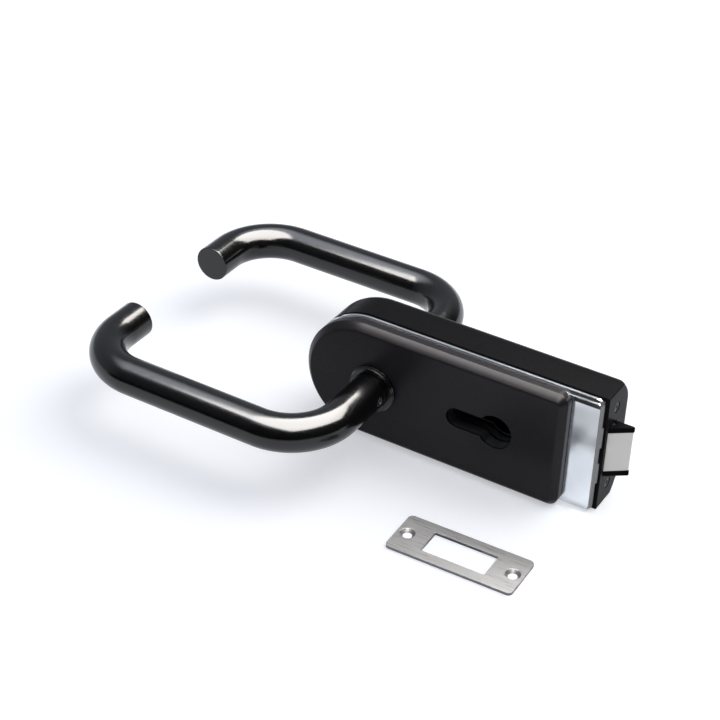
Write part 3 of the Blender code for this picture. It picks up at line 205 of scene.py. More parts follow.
def smooth(item, angle=40):
    item.data.shade_smooth()
    item.data.set_sharp_from_angle(angle=math.radians(angle))
    weigh = item.modifiers.new("faceNormals", "WEIGHTED_NORMAL")
    weigh.keep_sharp = True
    return item


def dress(item, material, body, node):
    item.data.materials.clear()
    item.data.materials.append(material)
    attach(item, body)
    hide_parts(node)


def repaint(item, material, rule):
    # faces picked by rule(middle of the face, normal) get another finish
    item.data.materials.append(material)
    for face in item.data.polygons:
        if rule(face.center, face.normal):
            face.material_index = len(item.data.materials) - 1


# Material tools

def linear(code):
    # sRGB hex to linear colour
    parts = [int(code[i:i + 2], 16) / 255 for i in (1, 3, 5)]
    return (*[c / 12.92 if c <= 0.04045 else ((c + 0.055) / 1.055) ** 2.4 for c in parts], 1.0)


def addNode(tree, kind, values=None, links=None, **settings):
    node = tree.nodes.new(kind)
    for key, value in settings.items():
        setattr(node, key, value)
    for key, value in (values or {}).items():
        node.inputs[key].default_value = value
    for key, socket in (links or {}).items():
        tree.links.new(socket, node.inputs[key])
    return node


def newMaterial(name):
    material = bpy.data.materials.new(name)
    material.use_nodes = True
    material.node_tree.nodes.clear()
    return material, material.node_tree


def closeMaterial(tree, surface):
    addNode(tree, "ShaderNodeOutputMaterial", links={"Surface": surface.outputs[0]})


def coatMaterial(name, look):
    # a coloured coat with fine grain in colour, gloss and height, all from real sizes in mm
    material, tree = newMaterial(name)
    place = addNode(tree, "ShaderNodeTexCoord").outputs["Object"]
    stretched = addNode(tree, "ShaderNodeMapping", {"Scale": look["stretch"]}, {"Vector": place})
    grain = addNode(tree, "ShaderNodeTexNoise", {"Scale": 1 / (look["grain"] * mm), "Detail": 3.0,
                                                 "Roughness": 0.55}, {"Vector": stretched.outputs[0]})
    cloud = addNode(tree, "ShaderNodeTexNoise", {"Scale": 1 / (look["cloud"] * mm), "Detail": 2.0},
                    {"Vector": place})
    tint = addNode(tree, "ShaderNodeMix", {6: linear(look["dark"]), 7: linear(look["light"])},
                   {0: cloud.outputs["Fac"]}, data_type="RGBA")
    gloss = addNode(tree, "ShaderNodeMapRange",
                    {"From Min": 0.3, "From Max": 0.7, "To Min": look["rough"] - look["spread"],
                     "To Max": look["rough"] + look["spread"]}, {"Value": grain.outputs["Fac"]})
    bump = addNode(tree, "ShaderNodeBump", {"Strength": look["bump"], "Distance": look["height"] * mm},
                   {"Height": grain.outputs["Fac"]})
    surface = addNode(tree, "ShaderNodeBsdfPrincipled",
                      {"Metallic": look["metal"], "Specular IOR Level": look["specular"]},
                      {"Base Color": tint.outputs[2], "Roughness": gloss.outputs[0],
                       "Normal": bump.outputs[0]})
    closeMaterial(tree, surface)
    return material


# Epoxy powder on die-cast zinc: deep black, satin, with a fine orange peel that breaks reflections up.
powderCoatBlack = coatMaterial("powderCoatBlackSatin", {
    "dark": "#1d1a1d", "light": "#221f22", "rough": 0.3, "spread": 0.03, "metal": 0.0,
    "specular": 0.13, "grain": 0.9, "cloud": 18, "bump": 0.1, "height": 0.05, "stretch": (1, 1, 1)})

# The rear cover's powder is a little duller and shows more of its own grey.
powderCoatMatt = coatMaterial("powderCoatBlackMatt", {
    "dark": "#151516", "light": "#1b1b1c", "rough": 0.3, "spread": 0.04, "metal": 0.0,
    "specular": 0.02, "grain": 0.9, "cloud": 18, "bump": 0.15, "height": 0.05, "stretch": (1, 1, 1)})

# Stove enamel on bent steel tube: glossy black with long clear highlights, drawn a little along the tube.
# Its flow marks are drawn at 1.2 mm, coarser than the real ones of about 0.5 mm.
enamelBlack = coatMaterial("stoveEnamelBlack", {
    "dark": "#060606", "light": "#0a0a0a", "rough": 0.17, "spread": 0.03, "metal": 0.0,
    "specular": 0.5, "grain": 1.2, "cloud": 25, "bump": 0.06, "height": 0.04, "stretch": (0.35, 1, 1)})

# Stainless sheet, buffed to a mirror: slow waves of the pressed sheet bend what it shows.
mirrorSteel = coatMaterial("stainlessMirrorPolished", {
    "dark": "#d0d5da", "light": "#e6eaed", "rough": 0.17, "spread": 0.03, "metal": 1.0,
    "specular": 0.5, "grain": 14, "cloud": 12, "bump": 0.2, "height": 0.3, "stretch": (1, 1, 1)})

# Stainless strip, satin ground along its length: fine lines, an even grey, partly matt because the
# lines scatter most of what they mirror. Real lines are under 0.1 mm wide and are drawn at 0.6 mm.
satinSteel = coatMaterial("stainlessSatinGround", {
    "dark": "#6c6c6c", "light": "#767676", "rough": 0.3, "spread": 0.04, "metal": 0.4,
    "specular": 0.5, "grain": 0.6, "cloud": 30, "bump": 0.15, "height": 0.03, "stretch": (0.04, 1, 1)})

# Glass-filled nylon, moulded: black, a little waxy.
nylonBlack = coatMaterial("nylonMouldedBlack", {
    "dark": "#060606", "light": "#0a0a0a", "rough": 0.48, "spread": 0.05, "metal": 0.0,
    "specular": 0.02, "grain": 0.8, "cloud": 8, "bump": 0.15, "height": 0.04, "stretch": (1, 1, 1)})

# Acetal, moulded: warm light grey, smooth, so that the latch slides on the strike.
acetalGrey = coatMaterial("acetalMouldedGrey", {
    "dark": "#e1ddd4", "light": "#e8e4dc", "rough": 0.36, "spread": 0.04, "metal": 0.0,
    "specular": 0.4, "grain": 0.9, "cloud": 9, "bump": 0.08, "height": 0.04, "stretch": (1, 1, 1)})

# EPDM sheet, cut: dull black with an open grain.
rubberBlack = coatMaterial("rubberCutBlack", {
    "dark": "#070707", "light": "#0d0d0d", "rough": 0.8, "spread": 0.08, "metal": 0.0,
    "specular": 0.25, "grain": 0.5, "cloud": 6, "bump": 0.4, "height": 0.06, "stretch": (1, 1, 1)})

# Zinc plate with a black passivation, on pressed steel: nearly black, with a cloudy grey bloom.
zincPlate = coatMaterial("steelZincPlatedBlack", {
    "dark": "#1b1c1e", "light": "#3a3c3f", "rough": 0.45, "spread": 0.08, "metal": 1.0,
    "specular": 0.5, "grain": 0.8, "cloud": 5, "bump": 0.2, "height": 0.04, "stretch": (1, 1, 1)})

# Spring wire, drawn and tempered: dark grey with a fine grain, coarser here than the real 0.05 mm.
springWire = coatMaterial("springWireDrawn", {
    "dark": "#5c5f62", "light": "#7a7d80", "rough": 0.3, "spread": 0.06, "metal": 1.0,
    "specular": 0.5, "grain": 0.4, "cloud": 3, "bump": 0.15, "height": 0.02, "stretch": (1, 1, 1)})

# Fixings, blackened: oil-dipped black oxide, a soft metal sheen.
blackOxide = coatMaterial("steelBlackOxide", {
    "dark": "#0b0b0b", "light": "#121212", "rough": 0.4, "spread": 0.06, "metal": 0.3,
    "specular": 0.5, "grain": 0.4, "cloud": 3, "bump": 0.15, "height": 0.02, "stretch": (1, 1, 1)})
print("materials made")


# Front cover: deep-drawn shell whose front edge is a crowned facet between two small rounds

coverLook = {"rightX": 101 * mm, "corner": 5.5 * mm, "wall": 1.5 * mm, "edge": 4.0 * mm, "slant": 47,
             "crown": 6, "faceRound": 1.7 * mm, "sideRound": 0.8 * mm, "bore": 11.5 * mm, "rim": 0.25 * mm,
             "keyholeShadeFrom": frontY + 0.3 * mm}


def facetProfile(look, face):
    # (y, inset) from the wall to the face; each run turns the surface from one angle to the next
    low, high = look["slant"] - look["crown"], look["slant"] + look["crown"]
    runs = [(90, high, look["sideRound"], 6), (high, low, 0.0, 6), (low, 0, look["faceRound"], 8)]

    def chain(facetRound):
        y, inset, points = 0.0, 0.0, [(0.0, 0.0)]
        for start, end, radius, steps in runs:
            radius = radius or facetRound
            for i in range(1, steps + 1):
                a = math.radians(start + (end - start) * (i - 0.5) / steps)
                run = radius * math.radians(start - end) / steps
                y, inset = y - run * math.sin(a), inset + run * math.cos(a)
                points.append((y, inset))
        return points

    # the facet's own radius is whatever makes the whole edge as wide as it should be
    bare, unit = chain(1e-9)[-1][1], chain(1.0)[-1][1] - chain(1e-9)[-1][1]
    points = chain((look["edge"] - bare) / unit)
    return [(face + y - points[-1][0], inset) for y, inset in points]


def buildFrontCover(look):
    back, wall = coverBackY, look["wall"]
    inner = roundProfile(frontY + wall, wall, look["edge"] - wall, 1)
    profile = inner[::-1] + [(back, wall), (back, 0.0)] + facetProfile(look, frontY)
    cover = loft("frontCover", ringsOf(lambda i: bodyOutline(look["rightX"], look["corner"], i), profile))
    cutAway(cover, prism("plugHole", keyholeOutline(), frontY - mm, back),
            drill("boreHole", look["bore"], 20 * mm, (0, frontY - mm, axisZ), (0, 1, 0)))
    softEdges(cover, look["rim"])
    dress(cover, powderCoatBlack, "body", "front_cover")
    # faces inside the keyhole are painted black nylon: painted shade, so the recess reads as a dark hole
    repaint(cover, nylonBlack, lambda p, n: p.y > look["keyholeShadeFrom"] and keyholeShadeLowX < p.x < keyholeShadeHighX
            and abs(p.z - axisZ) < keyholeShadeHalf)


buildFrontCover(coverLook)


# Base plate: polished tray with a raised face, whose end wall has two deeper tabs

# steps: depth behind the face, inset from the long edges and inset from the latch end, in mm
plateLook = {"rightX": 115.9 * mm, "corner": 3.2 * mm, "sheet": 1.2 * mm, "edge": 2.8 * mm,
             "tabLow": 4.5 * mm, "tabHigh": 16 * mm, "tab": 1.0 * mm, "lean": 0.47, "bore": 8.3 * mm,
             "holeGrow": 0.5 * mm, "bareWidth": 3.3 * mm,
             "steps": [(3.0, 0.0, 0.0), (1.8, 0.0, 0.56), (1.16, 1.4, 0.75), (0.6, 2.05, 0.85),
                       (0.0, 3.9, 0.9)]}


def buildBasePlate(look):
    near, back, sheet = plateY, plateBackY, look["sheet"]
    inner = roundProfile(near + sheet, sheet, look["edge"] - sheet, 1)
    rings = ringsOf(lambda i: bodyOutline(look["rightX"] + 0.6 * (sheet - i), look["corner"], i),
                    inner[::-1] + [(back, sheet)])
    for depth, inset, endInset in look["steps"]:
        outline = bodyOutline(look["rightX"] + (inset - endInset) * mm, look["corner"], inset * mm)
        rings.append([(x, near + depth * mm, z) for x, z in outline])
    plate = loft("basePlate", rings)
    tabs = []
    for number, side in enumerate((1, -1)):
        low, high = sorted((axisZ + side * look["tabLow"], axisZ + side * look["tabHigh"]))
        right, far = look["rightX"], back + look["tab"]
        outline = [(right - sheet, back - 0.1 * mm), (right, back - 0.1 * mm), (right, back),
                   (right + look["lean"] * look["tab"], far), (right - sheet, far)]
        tabs.append(standing(f"tab{number}", outline, low, high))
    cutAway(plate, *tabs, operation="UNION")
    cutAway(plate, prism("webHole", keyholeOutline(look["holeGrow"]), near - mm, near + 2 * mm),
            drill("axisHole", look["bore"], 6 * mm, (0, near - mm, axisZ), (0, 1, 0)))
    smooth(plate, 12)
    dress(plate, mirrorSteel, "body", "base_plate")
    # faces inside the keyhole and the lever bore are painted black nylon: painted shade that hides the
    # polished sheet's hole edges
    repaint(plate, nylonBlack, lambda p, n: p.y > near + 0.2 * mm and p.x < keyholeShadeHighX
            and abs(p.z - axisZ) < keyholeShadeHalf)
    # the end wall and its corners are as they were sheared and bent, without the polish
    repaint(plate, satinSteel, lambda p, n: p.x > look["rightX"] - look["bareWidth"] and n.x > 0.3)


buildBasePlate(plateLook)


# Rear cover: long back edges with a big radius, cut square at the latch end

rearLook = {"edge": 7.0 * mm, "wall": 1.8 * mm, "back": 3.1 * mm, "endRim": 0.7 * mm,
            "backCorner": 5.0 * mm, "otherRim": 0.3 * mm, "mouthHalf": 14.5 * mm, "mouthGap": 0.5 * mm,
            "bore": 11.5 * mm, "sinkWide": 4.9 * mm, "sinkDeep": 1.1 * mm, "screwHole": 1.8 * mm}
latchPlace = {"near": latchY, "far": latchFarY, "half": 14 * mm, "reach": 9.8 * mm, "tip": 0.9 * mm,
              "backX": 101.5 * mm}
screwY = (latchY + latchFarY) / 2 + 3 * mm
screwLevels = {"upper": axisZ + 22 * mm, "lower": axisZ - 22 * mm}


def buildRearCover(look):
    wall, near = look["wall"], rearFrontY
    rings = []
    for number, (y, inset) in enumerate([(near, 0.0)] + roundProfile(rearY, 0.0, look["edge"], -1, 14)):
        # the end face's corners are nearly sharp in front and open out where the back edges round off
        turn = min(1.0, max(0.0, number - 1) / 6)
        corner = look["endRim"] + (look["backCorner"] - look["endRim"]) * turn
        rings.append([(x, y, z) for x, z in bodyOutline(endX + inset, corner + inset, inset)])
    cover = loft("rearCover", rings)
    inner = [(near - 2 * mm, wall)] + roundProfile(rearY - look["back"], wall, look["edge"] - wall, -1)
    hollow = loft("rearHollow", ringsOf(lambda i: squareOutline(endX - wall, i), inner))
    mouth = boxCutter("mouth", (endX - 8 * mm, caseY, axisZ - look["mouthHalf"]),
                      (endX + 2 * mm, latchFarY + look["mouthGap"], axisZ + look["mouthHalf"]))
    bore = drill("rearBore", look["bore"], 8 * mm, (0, rearY - 5 * mm, axisZ), (0, 1, 0))
    cutAway(cover, hollow)
    cutAway(cover, mouth, bore, prism("rearPlugHole", keyholeOutline(), rearY - 5 * mm, rearY + 2 * mm))
    hole, past, depth = look["screwHole"], 2 * mm, -4 * mm
    for place, level in screwLevels.items():
        profile = [(0, past), (look["sinkWide"], past), (hole, -look["sinkDeep"]), (hole, depth), (0, depth)]
        cutAway(cover, spun("sink" + place, profile, (endX, screwY, level), (1, 0, 0), 48))
    softEdges(cover, look["otherRim"])
    dress(cover, powderCoatMatt, "body", "rear_cover")


buildRearCover(rearLook)


# Glass pads: rubber sheets that show as dark lines between the covers

padLook = {"rightX": 115.5 * mm, "corner": 3.2 * mm, "frontSink": 1.5 * mm, "frontProud": 0.95 * mm,
           "rearSink": 0.9 * mm, "relief": 16.3 * mm, "reliefX": (113 * mm, 117 * mm), "holeGrow": 1.0 * mm,
           "bore": 10.3 * mm}


def buildPads(look):
    # profiles are (y, inset) pairs, a little rounded at the rims
    near, proud = plateY + look["frontSink"], plateBackY + look["frontProud"]
    profile = [(near, 2.6 * mm), (near + 0.8 * mm, 1.7 * mm), (proud - 0.6 * mm, 1.5 * mm), (proud, 1.7 * mm)]
    front = loft("frontGlassPad", ringsOf(lambda i: bodyOutline(look["rightX"], look["corner"], i), profile))
    left, right = look["reliefX"]
    relief = boxCutter("padRelief", (left, plateBackY, axisZ - look["relief"]),
                       (right, 0, axisZ + look["relief"]))
    near, back = proud + gap, rearFrontY + look["rearSink"]
    profile = [(near, 2.3 * mm), (near + 0.25 * mm, 2.1 * mm), (back - 0.2 * mm, 2.1 * mm), (back, 2.3 * mm)]
    rear = loft("rearGlassPad", ringsOf(lambda i: squareOutline(endX - i, i), profile))
    cutAway(front, relief)
    for pad, node in ((front, "front_glass_pad"), (rear, "rear_glass_pad")):
        cutAway(pad, prism("padWebHole", keyholeOutline(look["holeGrow"]), plateY, 0),
                drill("padBore", look["bore"], 9 * mm, (0, plateY, axisZ), (0, 1, 0)))
        smooth(pad)
        dress(pad, rubberBlack, "body", node)


buildPads(padLook)
print("covers, plate and pads made")


# Levers: bent tube with a flat capped free end

leverLook = {"radius": 9.5 * mm, "wall": 1.2 * mm, "bend": 28.5 * mm, "gripY": rearY + 58.5 * mm,
             "length": 131.5 * mm, "endY": rearY + 15.5 * mm, "cap": 1.2 * mm, "sides": 72, "bendSteps": 28,
             "rim": 0.2 * mm, "plug": 8 * mm, "plugDeep": 6.2 * mm, "capRim": 0.25 * mm,
             "grubY": rearY + 9 * mm, "grubRadius": 2.5 * mm, "grubLong": 4.9 * mm, "grubRim": 0.3 * mm,
             "socket": 1.25 * mm, "socketDeep": 2.4 * mm}


def leverPath(look, startY, stopY):
    # points with their directions, in the plane of the axis, measured out from the middle of the lock
    r, cy = look["bend"], look["gripY"] - look["bend"]
    path = [(0.0, startY, 0.0, 1.0)]
    for i in range(look["bendSteps"] + 1):
        a = math.radians(90 * i / look["bendSteps"])
        path.append((-r + r * math.cos(a), cy + r * math.sin(a), -math.sin(a), math.cos(a)))
    for i in range(look["bendSteps"] + 1):
        a = math.radians(90 + 90 * i / look["bendSteps"])
        path.append((-look["length"] + r + r * math.cos(a), cy + r * math.sin(a), -math.sin(a), math.cos(a)))
    return path + [(-look["length"], stopY, 0.0, -1.0)]


def tubeRing(point, side, radius, sides):
    x, y, tx, ty = point
    ring = []
    for i in range(sides):
        a = 2 * math.pi * i / sides
        ring.append((x + radius * math.cos(a) * ty, side * (y - radius * math.cos(a) * tx),
                     axisZ + radius * math.sin(a)))
    return ring


def buildLever(look, place, side, startY):
    stopY = look["endY"] + look["cap"] + hair
    path = leverPath(look, startY, stopY)
    outer = [tubeRing(p, side, look["radius"], look["sides"]) for p in path]
    inner = [tubeRing(p, side, look["radius"] - look["wall"], look["sides"]) for p in path]
    lever = loft(place + "Lever", outer + inner[::-1], closed=True)
    grub = (0.0, side * look["grubY"], axisZ)
    cutAway(lever, drill(place + "GrubHole", look["grubRadius"] + gap, 12 * mm, grub, (1, 0, 0), 40))
    softEdges(lever, look["rim"])
    dress(lever, enamelBlack, "lever", place + "_lever")

    out = (0, side, 0)
    radius, edge, plug, deep = look["radius"], look["capRim"], look["plug"], look["plugDeep"]
    profile = [(0, deep), (plug, deep), (plug, look["cap"]), (radius, look["cap"]),
               (radius, edge), (radius - edge * 0.3, edge * 0.3), (radius - edge, 0), (0, 0)]
    cap = spun(place + "EndCap", profile, (-look["length"], side * look["endY"], axisZ), out, look["sides"])
    smooth(cap, 50)
    dress(cap, enamelBlack, "lever", place + "_end_cap")

    head, r, rim = (radius - gap, side * look["grubY"], axisZ), look["grubRadius"], look["grubRim"]
    screw = spun(place + "GrubScrew", [(r - rim, 0), (r, -rim), (r, -look["grubLong"])], head, (1, 0, 0), 48)
    profile = [(look["socket"], 1 * mm), (look["socket"], -look["socketDeep"])]
    cutAway(screw, spun(place + "GrubSocket", profile, head, (1, 0, 0), 6))
    softEdges(screw, 0.08 * mm)
    dress(screw, springWire, "lever", place + "_grub_screw")


buildLever(leverLook, "front", -1, -coverBackY)
buildLever(leverLook, "rear", 1, rearY - rearLook["back"])


# Collars: turned rings with one groove, which catches the light as two lines

collarLook = {"inner": 9.8 * mm, "outer": 12.25 * mm, "height": 3.0 * mm, "groove": 0.9 * mm,
              "chamfer": 0.55 * mm, "land": 0.3 * mm, "slope": 0.1 * mm, "floor": 0.4 * mm,
              "foot": 0.2 * mm}


def buildCollar(look, place, side):
    r, h, g, c, foot = look["outer"], look["height"], look["groove"], look["chamfer"], look["foot"]
    landEnd = h - c - look["land"]
    grooveTop = landEnd - look["slope"]
    grooveLow = grooveTop - look["floor"]
    ridge = grooveLow - look["slope"]
    profile = [(look["inner"], h), (r - c, h), (r, h - c), (r, landEnd), (r - g, grooveTop),
               (r - g, grooveLow), (r - c, ridge), (r, ridge - c), (r, foot), (r - foot, 0),
               (look["inner"], 0)]
    collar = spun(place + "Collar", profile, (0, side * (rearY + gap), axisZ), (0, side, 0), 96, closed=True)
    smooth(collar, 30)
    dress(collar, enamelBlack, "body", place + "_collar")


buildCollar(collarLook, "front", -1)
buildCollar(collarLook, "rear", 1)
print("levers and collars made")


# Latch: black bolt with a light insert between two cheeks

insertLook = {"half": 11 * mm, "backX": 113.6 * mm, "short": 0.4 * mm, "rim": 0.25 * mm}
boltLook = {"rim": 0.35 * mm, "pocketX": 113.3 * mm, "pocketGap": 0.1 * mm, "pin": 1.3 * mm,
            "pinBack": 3 * mm, "rivet": 1.8 * mm, "rivetX": 105.75 * mm, "rivetLevel": 6.6 * mm,
            "slotX": (99 * mm, 110.3 * mm), "slotY": (latchY + 4.6 * mm, latchY + 6.8 * mm),
            "slotHalf": 11.3 * mm}


def latchOutline(backX, short=0.0):
    p = latchPlace
    tipX = endX + p["reach"] - short
    return [(backX, p["near"]), (endX, p["near"]), (tipX, p["far"] - p["tip"]), (tipX, p["far"]),
            (backX, p["far"])]


def buildLatch(bolt, insert):
    p = latchPlace
    pinY, past = p["far"] - bolt["pinBack"], 2 * mm
    body = standing("latchBolt", latchOutline(p["backX"]), axisZ - p["half"], axisZ + p["half"])
    pocketHalf = insert["half"] + bolt["pocketGap"]
    pocket = boxCutter("pocket", (bolt["pocketX"], p["near"] - past, axisZ - pocketHalf),
                       (endX + 14 * mm, p["far"] + past, axisZ + pocketHalf))
    slot = boxCutter("tongueSlot", (bolt["slotX"][0], bolt["slotY"][0], axisZ - bolt["slotHalf"]),
                     (bolt["slotX"][1], bolt["slotY"][1], axisZ + bolt["slotHalf"]))
    cutAway(body, pocket)
    cutAway(body, slot)
    for level in (axisZ + bolt["rivetLevel"], axisZ - bolt["rivetLevel"]):
        cutAway(body, drill("rivetHole", bolt["rivet"], 12 * mm, (bolt["rivetX"], p["near"] - past, level),
                            (0, 1, 0), 32))
    cutAway(body, drill("pinHole", bolt["pin"], 28 * mm, (endX, pinY, axisZ - 13.5 * mm), (0, 0, 1), 32))
    softEdges(body, bolt["rim"])
    dress(body, nylonBlack, "latch", "latch_bolt")
    wear = standing("latchInsert", latchOutline(insert["backX"], insert["short"]),
                    axisZ - insert["half"], axisZ + insert["half"])
    cutAway(wear, drill("insertPinHole", bolt["pin"], 28 * mm, (endX, pinY, axisZ - 14 * mm), (0, 0, 1), 32))
    softEdges(wear, insert["rim"])
    dress(wear, acetalGrey, "latch", "latch_insert")


buildLatch(boltLook, insertLook)


endScrewLook = {"head": 2.6 * mm, "rim": 0.15 * mm, "headDeep": 1.2 * mm, "shaft": 1.5 * mm,
                "long": 7 * mm, "socket": 1.2 * mm, "socketDeep": 1.4 * mm}


def buildEndScrews(look):
    head, shaft, rim, socket = look["head"], look["shaft"], look["rim"], look["socket"]
    for place, level in screwLevels.items():
        profile = [(head - 0.2 * mm, 0), (head, -rim), (shaft, -look["headDeep"]), (shaft, -look["long"])]
        base = (endX - gap, screwY, level)
        screw = spun("endScrew" + place.capitalize(), profile, base, (1, 0, 0), 48)
        profile = [(socket, 1 * mm), (socket, -look["socketDeep"])]
        cutAway(screw, spun("endSocket", profile, base, (1, 0, 0), 6))
        softEdges(screw, 0.06 * mm)
        dress(screw, blackOxide, "body", "end_screw_" + place)


buildEndScrews(endScrewLook)


# Strike plate: satin strip lying in front, with a window and two countersunk holes

strikeLook = {"length": 65 * mm, "width": 26 * mm, "sheet": 1.5 * mm, "corner": 2.5 * mm,
              "window": (32.7 * mm, 14.8 * mm), "windowCorner": 0.6 * mm, "holes": 27.2 * mm,
              "hole": 2.2 * mm, "place": (79.6 * mm, -70.8 * mm), "turn": math.radians(1.5),
              "rim": 0.2 * mm}


def roundedBox(halfU, halfV, r):
    points = []
    for u, v, start in ((-1, -1, 180), (1, -1, 270), (1, 1, 0), (-1, 1, 90)):
        points += arcPoints(u * (halfU - r), v * (halfV - r), r, start, start + 90, 8)
    return points


def buildStrike(look):
    sheet, hole = look["sheet"], look["hole"]
    outline = roundedBox(look["length"] / 2, look["width"] / 2, look["corner"])
    plate = standing("strikePlate", outline, 0, sheet)
    w, h = look["window"]
    window = standing("window", roundedBox(w / 2, h / 2, look["windowCorner"]), -mm, sheet + mm)
    cutAway(plate, window)
    for side in (1, -1):
        profile = [(hole, -sheet - mm), (hole, -sheet), (hole + sheet, 0), (hole + sheet + mm, mm)]
        cutAway(plate, spun("sink", profile, (side * look["holes"], 0, sheet), (0, 0, 1), 64))
    softEdges(plate, look["rim"])
    plate.matrix_world = Matrix.Translation((*look["place"], 0)) @ Matrix.Rotation(look["turn"], 4, "Z")
    dress(plate, satinSteel, "body", "strike_plate")


buildStrike(strikeLook)


# Latch spring: coils of wire spanning the CAD spring; on the real lock they close up as the slide is drawn

springLook = {"turns": 6, "wire": 0.4 * mm, "coil": 2.4 * mm, "travel": 10.5 * mm, "turnSteps": 24}


def buildLatchSpring(look):
    low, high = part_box("latch_spring")
    middleY, wire = (low.y + high.y) / 2, look["wire"]
    steps = look["turnSteps"] * look["turns"]
    rings = []
    for i in range(steps + 1):
        a = 2 * math.pi * i / look["turnSteps"]
        x = low.x + wire + (high.x - low.x - 2 * wire) * i / steps
        out = Vector((0, math.cos(a), math.sin(a)))
        centre = Vector((x, middleY, axisZ)) + look["coil"] * out
        rings.append([centre + wire * (math.cos(b) * out + math.sin(b) * Vector((1, 0, 0)))
                      for b in [2 * math.pi * k / 10 for k in range(10)]])
    spring = loft("latchSpring", rings)
    smooth(spring, 60)
    dress(spring, springWire, "body", "latch_spring")
    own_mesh(spring)


buildLatchSpring(springLook)
print("latch, strike and spring made")


# CAD nodes whose shape is right get their finish

cadFinish = {
    "cover_carrier": zincPlate, "case_lid": zincPlate, "lock_case": zincPlate, "latch_slide": zincPlate,
    "follower": zincPlate, "spindle": zincPlate, "front_bush": acetalGrey, "rear_bush": acetalGrey,
    "front_shank": satinSteel, "rear_shank": satinSteel, "insert_pin": blackOxide,
    "latch_rivet_upper": satinSteel, "latch_rivet_lower": satinSteel, "latch_spring_guide": satinSteel,
    "front_circlip": springWire, "rear_circlip": springWire, "return_spring": springWire,
}
for number in range(1, 6):
    cadFinish[f"clamp_screw_{number}"] = zincPlate
for number in range(1, 4):
    cadFinish[f"lid_screw_{number}"] = zincPlate
for name, material in cadFinish.items():
    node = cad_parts[name]
    if not node.material_slots:
        node.data.materials.append(material)
    for holder in node.material_slots:
        holder.material = material


# Floor, light and camera

floorLook = {"half": 4.0, "level": -0.1 * mm, "glow": 0.42}
# what gloss sees of the room: paler behind and to the left, and a bright ceiling
roomLook = {"side": (-0.87, 0.5, 0.0), "sideFrom": (-0.2, 0.6), "sideTo": (0.03, 0.45),
            "ceilingFrom": (0.7, 0.9), "ceilingTo": 4.5, "matt": 0.62}
cameraLook = {"azimuth": 30.157, "elevation": 34.151, "roll": 2.264, "lens": 92.5, "sensor": 36.0,
              "place": (0.36504, -0.65971, 0.54893)}


def buildFloor(look):
    # white to camera, gloss and glass by its glow, while the matt share keeps the shadow
    half, level = look["half"], look["level"]
    floor = newPiece("floor", [(-half, -half, level), (half, -half, level), (half, half, level),
                               (-half, half, level)], [(0, 1, 2, 3)])
    material, tree = newMaterial("paperWhiteMatt")
    path = addNode(tree, "ShaderNodeLightPath")
    seen = addNode(tree, "ShaderNodeMath", operation="ADD", links={
        0: path.outputs["Is Camera Ray"], 1: path.outputs["Is Glossy Ray"]})
    seen = addNode(tree, "ShaderNodeMath", operation="ADD", use_clamp=True, links={
        0: seen.outputs[0], 1: path.outputs["Is Transmission Ray"]})
    lift = addNode(tree, "ShaderNodeMath", {1: look["glow"]}, {0: seen.outputs[0]}, operation="MULTIPLY")
    glow = addNode(tree, "ShaderNodeEmission", {"Color": linear("#fcfdff")}, {"Strength": lift.outputs[0]})
    matt = addNode(tree, "ShaderNodeBsdfDiffuse", {"Color": linear("#dcdde0")})
    both = addNode(tree, "ShaderNodeAddShader", links={0: glow.outputs[0], 1: matt.outputs[0]})
    closeMaterial(tree, both)
    floor.data.materials.append(material)


def buildWorld(look):
    world = bpy.data.worlds.new("studio")
    bpy.context.scene.world = world
    world.use_nodes = True
    tree = world.node_tree
    tree.nodes.clear()
    way = addNode(tree, "ShaderNodeTexCoord").outputs["Generated"]

    def fade(value, low, high, start, end):
        span = {"From Min": low, "From Max": high, "To Min": start, "To Max": end}
        return addNode(tree, "ShaderNodeMapRange", span, {"Value": value},
                       interpolation_type="SMOOTHSTEP").outputs[0]

    side = addNode(tree, "ShaderNodeVectorMath", {1: look["side"]}, {0: way}, operation="DOT_PRODUCT")
    room = fade(side.outputs["Value"], *look["sideFrom"], *look["sideTo"])
    height = addNode(tree, "ShaderNodeSeparateXYZ", links={0: way})
    ceiling = fade(height.outputs["Z"], *look["ceilingFrom"], 0.0, look["ceilingTo"])
    gloss = addNode(tree, "ShaderNodeMath", links={0: room, 1: ceiling}, operation="ADD")
    path = addNode(tree, "ShaderNodeLightPath")
    level = addNode(tree, "ShaderNodeMix", {2: look["matt"]},
                    {0: path.outputs["Is Glossy Ray"], 3: gloss.outputs[0]}, data_type="FLOAT")
    shown = addNode(tree, "ShaderNodeMix", {3: 1.0},
                    {0: path.outputs["Is Camera Ray"], 2: level.outputs[0]}, data_type="FLOAT")
    sky = addNode(tree, "ShaderNodeBackground", {"Color": linear("#edf3ff")}, {"Strength": shown.outputs[0]})
    addNode(tree, "ShaderNodeOutputWorld", links={"Surface": sky.outputs[0]})


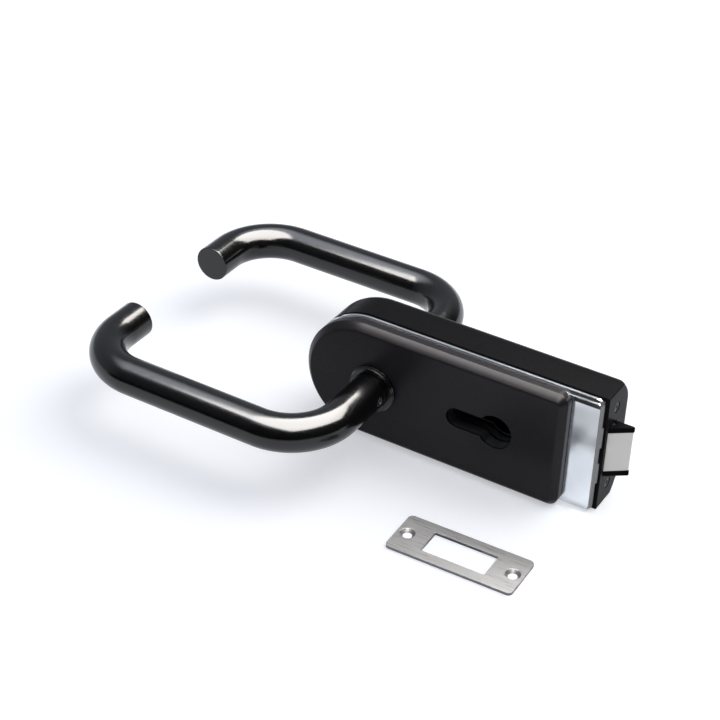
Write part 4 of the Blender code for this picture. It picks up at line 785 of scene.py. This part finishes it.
def addLamp(name, place, aim, size, power, turn=0.0, gloss=True, matt=True):
    lamp = bpy.data.lights.new(name, "AREA")
    lamp.shape = "RECTANGLE"
    lamp.size, lamp.size_y = size
    lamp.energy = power
    lamp.color = linear("#fffaf4")[:3]
    holder = bpy.data.objects.new(name, lamp)
    holder.location = place
    facing = (Vector(aim) - Vector(place)).to_track_quat("-Z", "Y").to_matrix()
    holder.rotation_euler = (facing @ Matrix.Rotation(turn, 3, "Z")).to_euler()
    holder.visible_glossy = gloss
    holder.visible_diffuse = matt
    holder.visible_camera = False
    bpy.context.scene.collection.objects.link(holder)


def addFlag(name, corner, along, up, colour="#161616"):
    # card seen only by gloss: it ends or breaks the white floor in the reflections
    corner, along, up = Vector(corner), Vector(along), Vector(up)
    flag = newPiece(name, [corner, corner + along, corner + along + up, corner + up], [(0, 1, 2, 3)])
    material, tree = newMaterial("cardMatt")
    closeMaterial(tree, addNode(tree, "ShaderNodeBsdfDiffuse", {"Color": linear(colour)}))
    flag.data.materials.append(material)
    flag.visible_camera = False
    flag.visible_diffuse = False
    flag.visible_shadow = False


def buildCamera(look):
    azimuth, elevation, roll = (math.radians(look[key]) for key in ("azimuth", "elevation", "roll"))
    back = Vector((math.sin(azimuth) * math.cos(elevation), -math.cos(azimuth) * math.cos(elevation),
                   math.sin(elevation)))
    right = Vector((math.cos(azimuth), math.sin(azimuth), 0.0))
    up = back.cross(right)
    turnedRight = math.cos(roll) * right + math.sin(roll) * up
    turnedUp = -math.sin(roll) * right + math.cos(roll) * up
    lens = bpy.data.cameras.new("photoView")
    lens.lens, lens.sensor_width = look["lens"], look["sensor"]
    camera = bpy.data.objects.new("photoView", lens)
    turn = Matrix((turnedRight, turnedUp, back)).transposed().to_4x4()
    camera.matrix_world = Matrix.Translation(look["place"]) @ turn
    bpy.context.scene.collection.objects.link(camera)
    bpy.context.scene.camera = camera


buildFloor(floorLook)
buildWorld(roomLook)
addLamp("softLight", (0.5, 0.7, 1.2), (0, 0, 0), (1.2, 1.2), 14, gloss=False)
addLamp("overheadSoftbox", (0.13, 0.02, 0.6), (0.13, 0.02, 0), (0.78, 0.94), 43, turn=-0.36, matt=False)
addFlag("frontFlag", (-0.35, -0.27, 0), (0.85, 0, 0), (0, 0, 0.06))
addFlag("rightFlag", (0.36, -0.3, 0), (0, 0.65, 0), (0, 0, 0.06))
# grey card lying in front, seen only by gloss: a painted reflection that puts a dark band across the mirror
# face
addFlag("reflectionBandCard", (0.04, -0.072, 0.0002), (0.047, 0, 0), (0, 0.025, 0), "#8c929a")
buildCamera(cameraLook)
bpy.context.scene.view_settings.view_transform = "Standard"
print("stage made")
